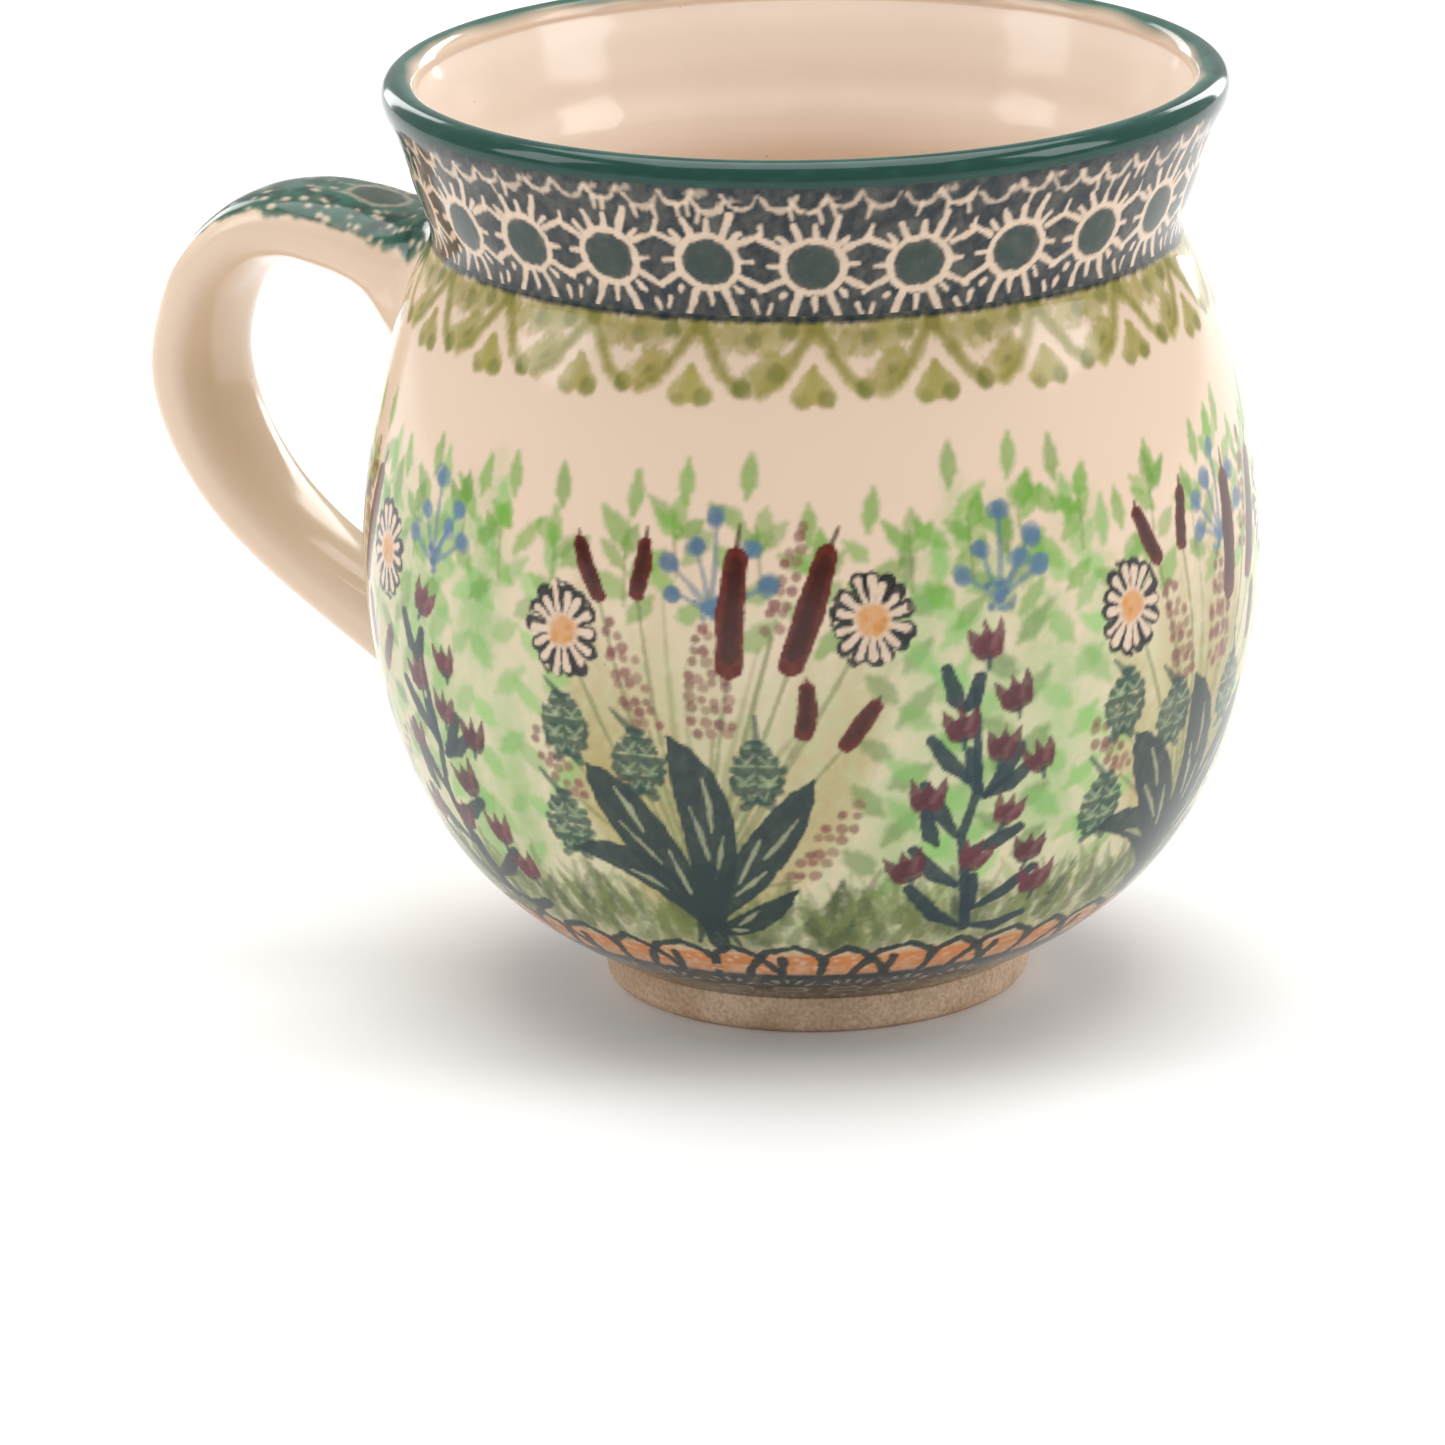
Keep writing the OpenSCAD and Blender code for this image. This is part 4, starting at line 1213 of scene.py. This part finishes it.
def glaze_finish(name, painted, base=None, smooth=0.10, rough=0.17, tint_mm=9.0, tint=0.04):
    finish, tree = new_finish(name)
    where = add_node(tree, "ShaderNodeTexCoord").outputs["Object"]
    if painted:
        colour = add_node(tree, "ShaderNodeAttribute", attribute_name="underglaze").outputs["Color"]
    else:
        cloud = add_node(tree, "ShaderNodeTexNoise", {"Vector": where, "Scale": per_mm(tint_mm), "Detail": 3.0})
        blend = add_node(tree, "ShaderNodeMix", {"Factor": cloud.outputs["Fac"], "A": rgba(base * (1 - tint)),
                                                 "B": rgba(base * (1 + tint))}, data_type="RGBA")
        colour = blend.outputs[2]
    cells = add_node(tree, "ShaderNodeTexVoronoi", {"Vector": where, "Scale": per_mm(SPECK_SPACING_MM)})
    near = add_node(tree, "ShaderNodeMapRange", {"Value": cells.outputs["Distance"], "From Min": SPECK_SIZE,
                                                 "From Max": SPECK_SIZE * 0.4, "To Min": 0.0, "To Max": 0.55})
    pick = add_node(tree, "ShaderNodeSeparateColor", {"Color": cells.outputs["Color"]})
    rare = add_node(tree, "ShaderNodeMath", {0: pick.outputs[0], 1: SPECK_SHARE}, operation="GREATER_THAN")
    speck = add_node(tree, "ShaderNodeMath", {0: near.outputs["Result"], 1: rare.outputs[0]}, operation="MULTIPLY")
    speckled = add_node(tree, "ShaderNodeMix", {"Factor": speck.outputs[0], "A": colour, "B": rgba(IRON)},
                        data_type="RGBA")
    melt = add_node(tree, "ShaderNodeTexNoise", {"Vector": where, "Scale": per_mm(6.0), "Detail": 2.0})
    gloss = add_node(tree, "ShaderNodeMapRange", {"Value": melt.outputs["Fac"], "From Min": 0.3, "From Max": 0.7,
                                                  "To Min": smooth, "To Max": rough})
    peel = add_node(tree, "ShaderNodeTexNoise", {"Vector": where, "Scale": per_mm(PEEL_MM), "Detail": 1.5})
    bump = add_node(tree, "ShaderNodeBump", {"Height": peel.outputs["Fac"], "Distance": PEEL_DEPTH_M, "Strength": 1.0})
    shader = add_node(tree, "ShaderNodeBsdfPrincipled", {
        "Base Color": speckled.outputs[2], "Roughness": gloss.outputs["Result"], "IOR": GLAZE_IOR,
        "Normal": bump.outputs["Normal"]})
    add_node(tree, "ShaderNodeOutputMaterial", {"Surface": shader.outputs[0]})
    return finish


def dress(piece, finish):
    piece.data.materials.clear()
    piece.data.materials.append(finish)


painted_glaze = glaze_finish("clear_glaze_over_underglaze_painting", True)
lip_finish = glaze_finish("dark_green_lip_glaze", True, smooth=0.08, rough=0.13)
liner_finish = glaze_finish("clear_glaze_over_cream_slip", False, linear("#eddac8"))
under_finish = glaze_finish("clear_glaze_over_bare_clay", False, linear("#d9bd97"), 0.14, 0.24, 5.0, 0.08)
for piece in (painted_belly, stamped_neck, strap_piece):
    dress(piece, painted_glaze)
dress(lip_roll, lip_finish)
dress(liner_shell, liner_finish)
dress(underside, under_finish)
print("glazes:", painted_glaze.name, lip_finish.name, liner_finish.name, under_finish.name)

# %% [markdown]
# Bare stoneware is matt and grainy: sand and grog of a tenth to half a millimetre, fired to tan. The
# same recipe, paler and finer, serves for the biscuit under the glaze and for the slips.

# %% Bare clay and slips


def clay_finish(name, pale, dark, grain_mm, grain_depth_m, roughness):
    finish, tree = new_finish(name)
    where = add_node(tree, "ShaderNodeTexCoord").outputs["Object"]
    cloud = add_node(tree, "ShaderNodeTexNoise", {"Vector": where, "Scale": per_mm(7.0), "Detail": 4.0})
    grain = add_node(tree, "ShaderNodeTexNoise", {"Vector": where, "Scale": per_mm(grain_mm), "Detail": 3.0})
    mixed = add_node(tree, "ShaderNodeMath", {0: cloud.outputs["Fac"], 1: grain.outputs["Fac"]}, operation="MULTIPLY")
    share = add_node(tree, "ShaderNodeMapRange", {"Value": mixed.outputs[0], "From Min": 0.14, "From Max": 0.38})
    colour = add_node(tree, "ShaderNodeMix", {"Factor": share.outputs["Result"], "A": rgba(linear(dark)),
                                              "B": rgba(linear(pale))}, data_type="RGBA")
    bump = add_node(tree, "ShaderNodeBump", {"Height": grain.outputs["Fac"], "Distance": grain_depth_m, "Strength": 0.8})
    shader = add_node(tree, "ShaderNodeBsdfPrincipled", {
        "Base Color": colour.outputs[2], "Roughness": roughness, "IOR": 1.5, "Normal": bump.outputs["Normal"]})
    add_node(tree, "ShaderNodeOutputMaterial", {"Surface": shader.outputs[0]})
    return finish


foot_finish = clay_finish("bare_tan_stoneware", "#e4c9ad", "#bd9a79", 0.45, 0.00008, 0.78)
biscuit_finish = clay_finish("biscuit_stoneware", "#d9c3a4", "#c2a583", 0.35, 0.00005, 0.85)
slip_finish = clay_finish("joining_slip", "#e2d0b4", "#cfb996", 0.5, 0.00004, 0.8)
dress(foot_piece, foot_finish)
FINISH_OF_SLOT = {"biscuit_stoneware": biscuit_finish, "luting_slip": slip_finish}
for name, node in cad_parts.items():
    if node.hide_render:
        continue
    for place in node.material_slots:
        place.material = slip_finish if "slip" in name else biscuit_finish
    print("solid", name, "keeps its shape, in", node.material_slots[0].material.name)

# %% [markdown]
# ## The studio
# The mug stands on a white sweep under soft light. Two tall soft boxes stand left and right of it, and
# an overhead sheet lights the floor, whose white shows as a pale veil on the lower belly.

# %% Floor and lights
FLOOR_SIDE_M, FLOOR_GRAIN_MM = 9.0, 40.0


def white_floor():
    half = FLOOR_SIDE_M / 2
    mesh = bpy.data.meshes.new("paper_floor")
    mesh.from_pydata([(-half, -half, 0), (half, -half, 0), (half, half, 0), (-half, half, 0)], [], [(0, 1, 2, 3)])
    floor = bpy.data.objects.new("paper_floor", mesh)
    bpy.context.scene.collection.objects.link(floor)
    finish, tree = new_finish("matt_white_paper")
    where = add_node(tree, "ShaderNodeTexCoord").outputs["Object"]
    cloud = add_node(tree, "ShaderNodeTexNoise", {"Vector": where, "Scale": per_mm(FLOOR_GRAIN_MM)})
    tone = add_node(tree, "ShaderNodeMix", {"Factor": cloud.outputs["Fac"], "A": rgba(linear("#f6f5f4")),
                                            "B": rgba(linear("#f9f8f7"))}, data_type="RGBA")
    shader = add_node(tree, "ShaderNodeBsdfPrincipled", {"Base Color": tone.outputs[2], "Roughness": 0.9,
                                                         "Specular IOR Level": 0.1})
    add_node(tree, "ShaderNodeOutputMaterial", {"Surface": shader.outputs[0]})
    dress(floor, finish)
    return floor


def soft_box(name, azimuth, elevation, distance, size, watts, warmth="#ffffff"):
    """A soft box that faces the mug, placed by its angle from the camera's side, in degrees and metres."""
    data = bpy.data.lights.new(name, "AREA")
    data.shape, data.size, data.size_y = "RECTANGLE", *size
    data.energy, data.color = watts, linear(warmth).tolist()
    lamp = bpy.data.objects.new(name, data)
    bpy.context.scene.collection.objects.link(lamp)
    a, e = np.radians(azimuth) + CAMERA_AZIMUTH, np.radians(elevation)
    place = distance * np.array([np.sin(a) * np.cos(e), -np.cos(a) * np.cos(e), np.sin(e)]) + (0, 0, 0.05)
    back = (place - (0, 0, 0.05)) / distance
    side = np.cross((0, 0, 1), back) if abs(back[2]) < 0.99 else np.array([1.0, 0, 0])
    side /= np.linalg.norm(side)
    stand = np.eye(4)
    stand[:3, :] = np.array([side, np.cross(back, side), back, place]).T
    lamp.matrix_world = stand.T.tolist()
    return lamp


floor = white_floor()
soft_box("left_window", -82, 32, 1.4, (0.55, 0.8), 4.5)
soft_box("right_window", 80, 32, 1.4, (0.55, 0.8), 6.0)
soft_box("left_back_window", -152, 16, 1.5, (0.3, 0.9), 3.5)
soft_box("right_back_window", 150, 16, 1.5, (0.35, 0.9), 6.0)
soft_box("overhead_sheet", 180, 80, 1.8, (1.8, 1.8), 30.0)

world = bpy.data.worlds.new("studio_room")
world.use_nodes = True
world.node_tree.nodes["Background"].inputs["Color"].default_value = (1.0, 1.0, 1.0, 1.0)
world.node_tree.nodes["Background"].inputs["Strength"].default_value = 0.50
bpy.context.scene.world = world
bpy.context.scene.view_settings.view_transform = "Standard"
bpy.context.scene.view_settings.look = "None"
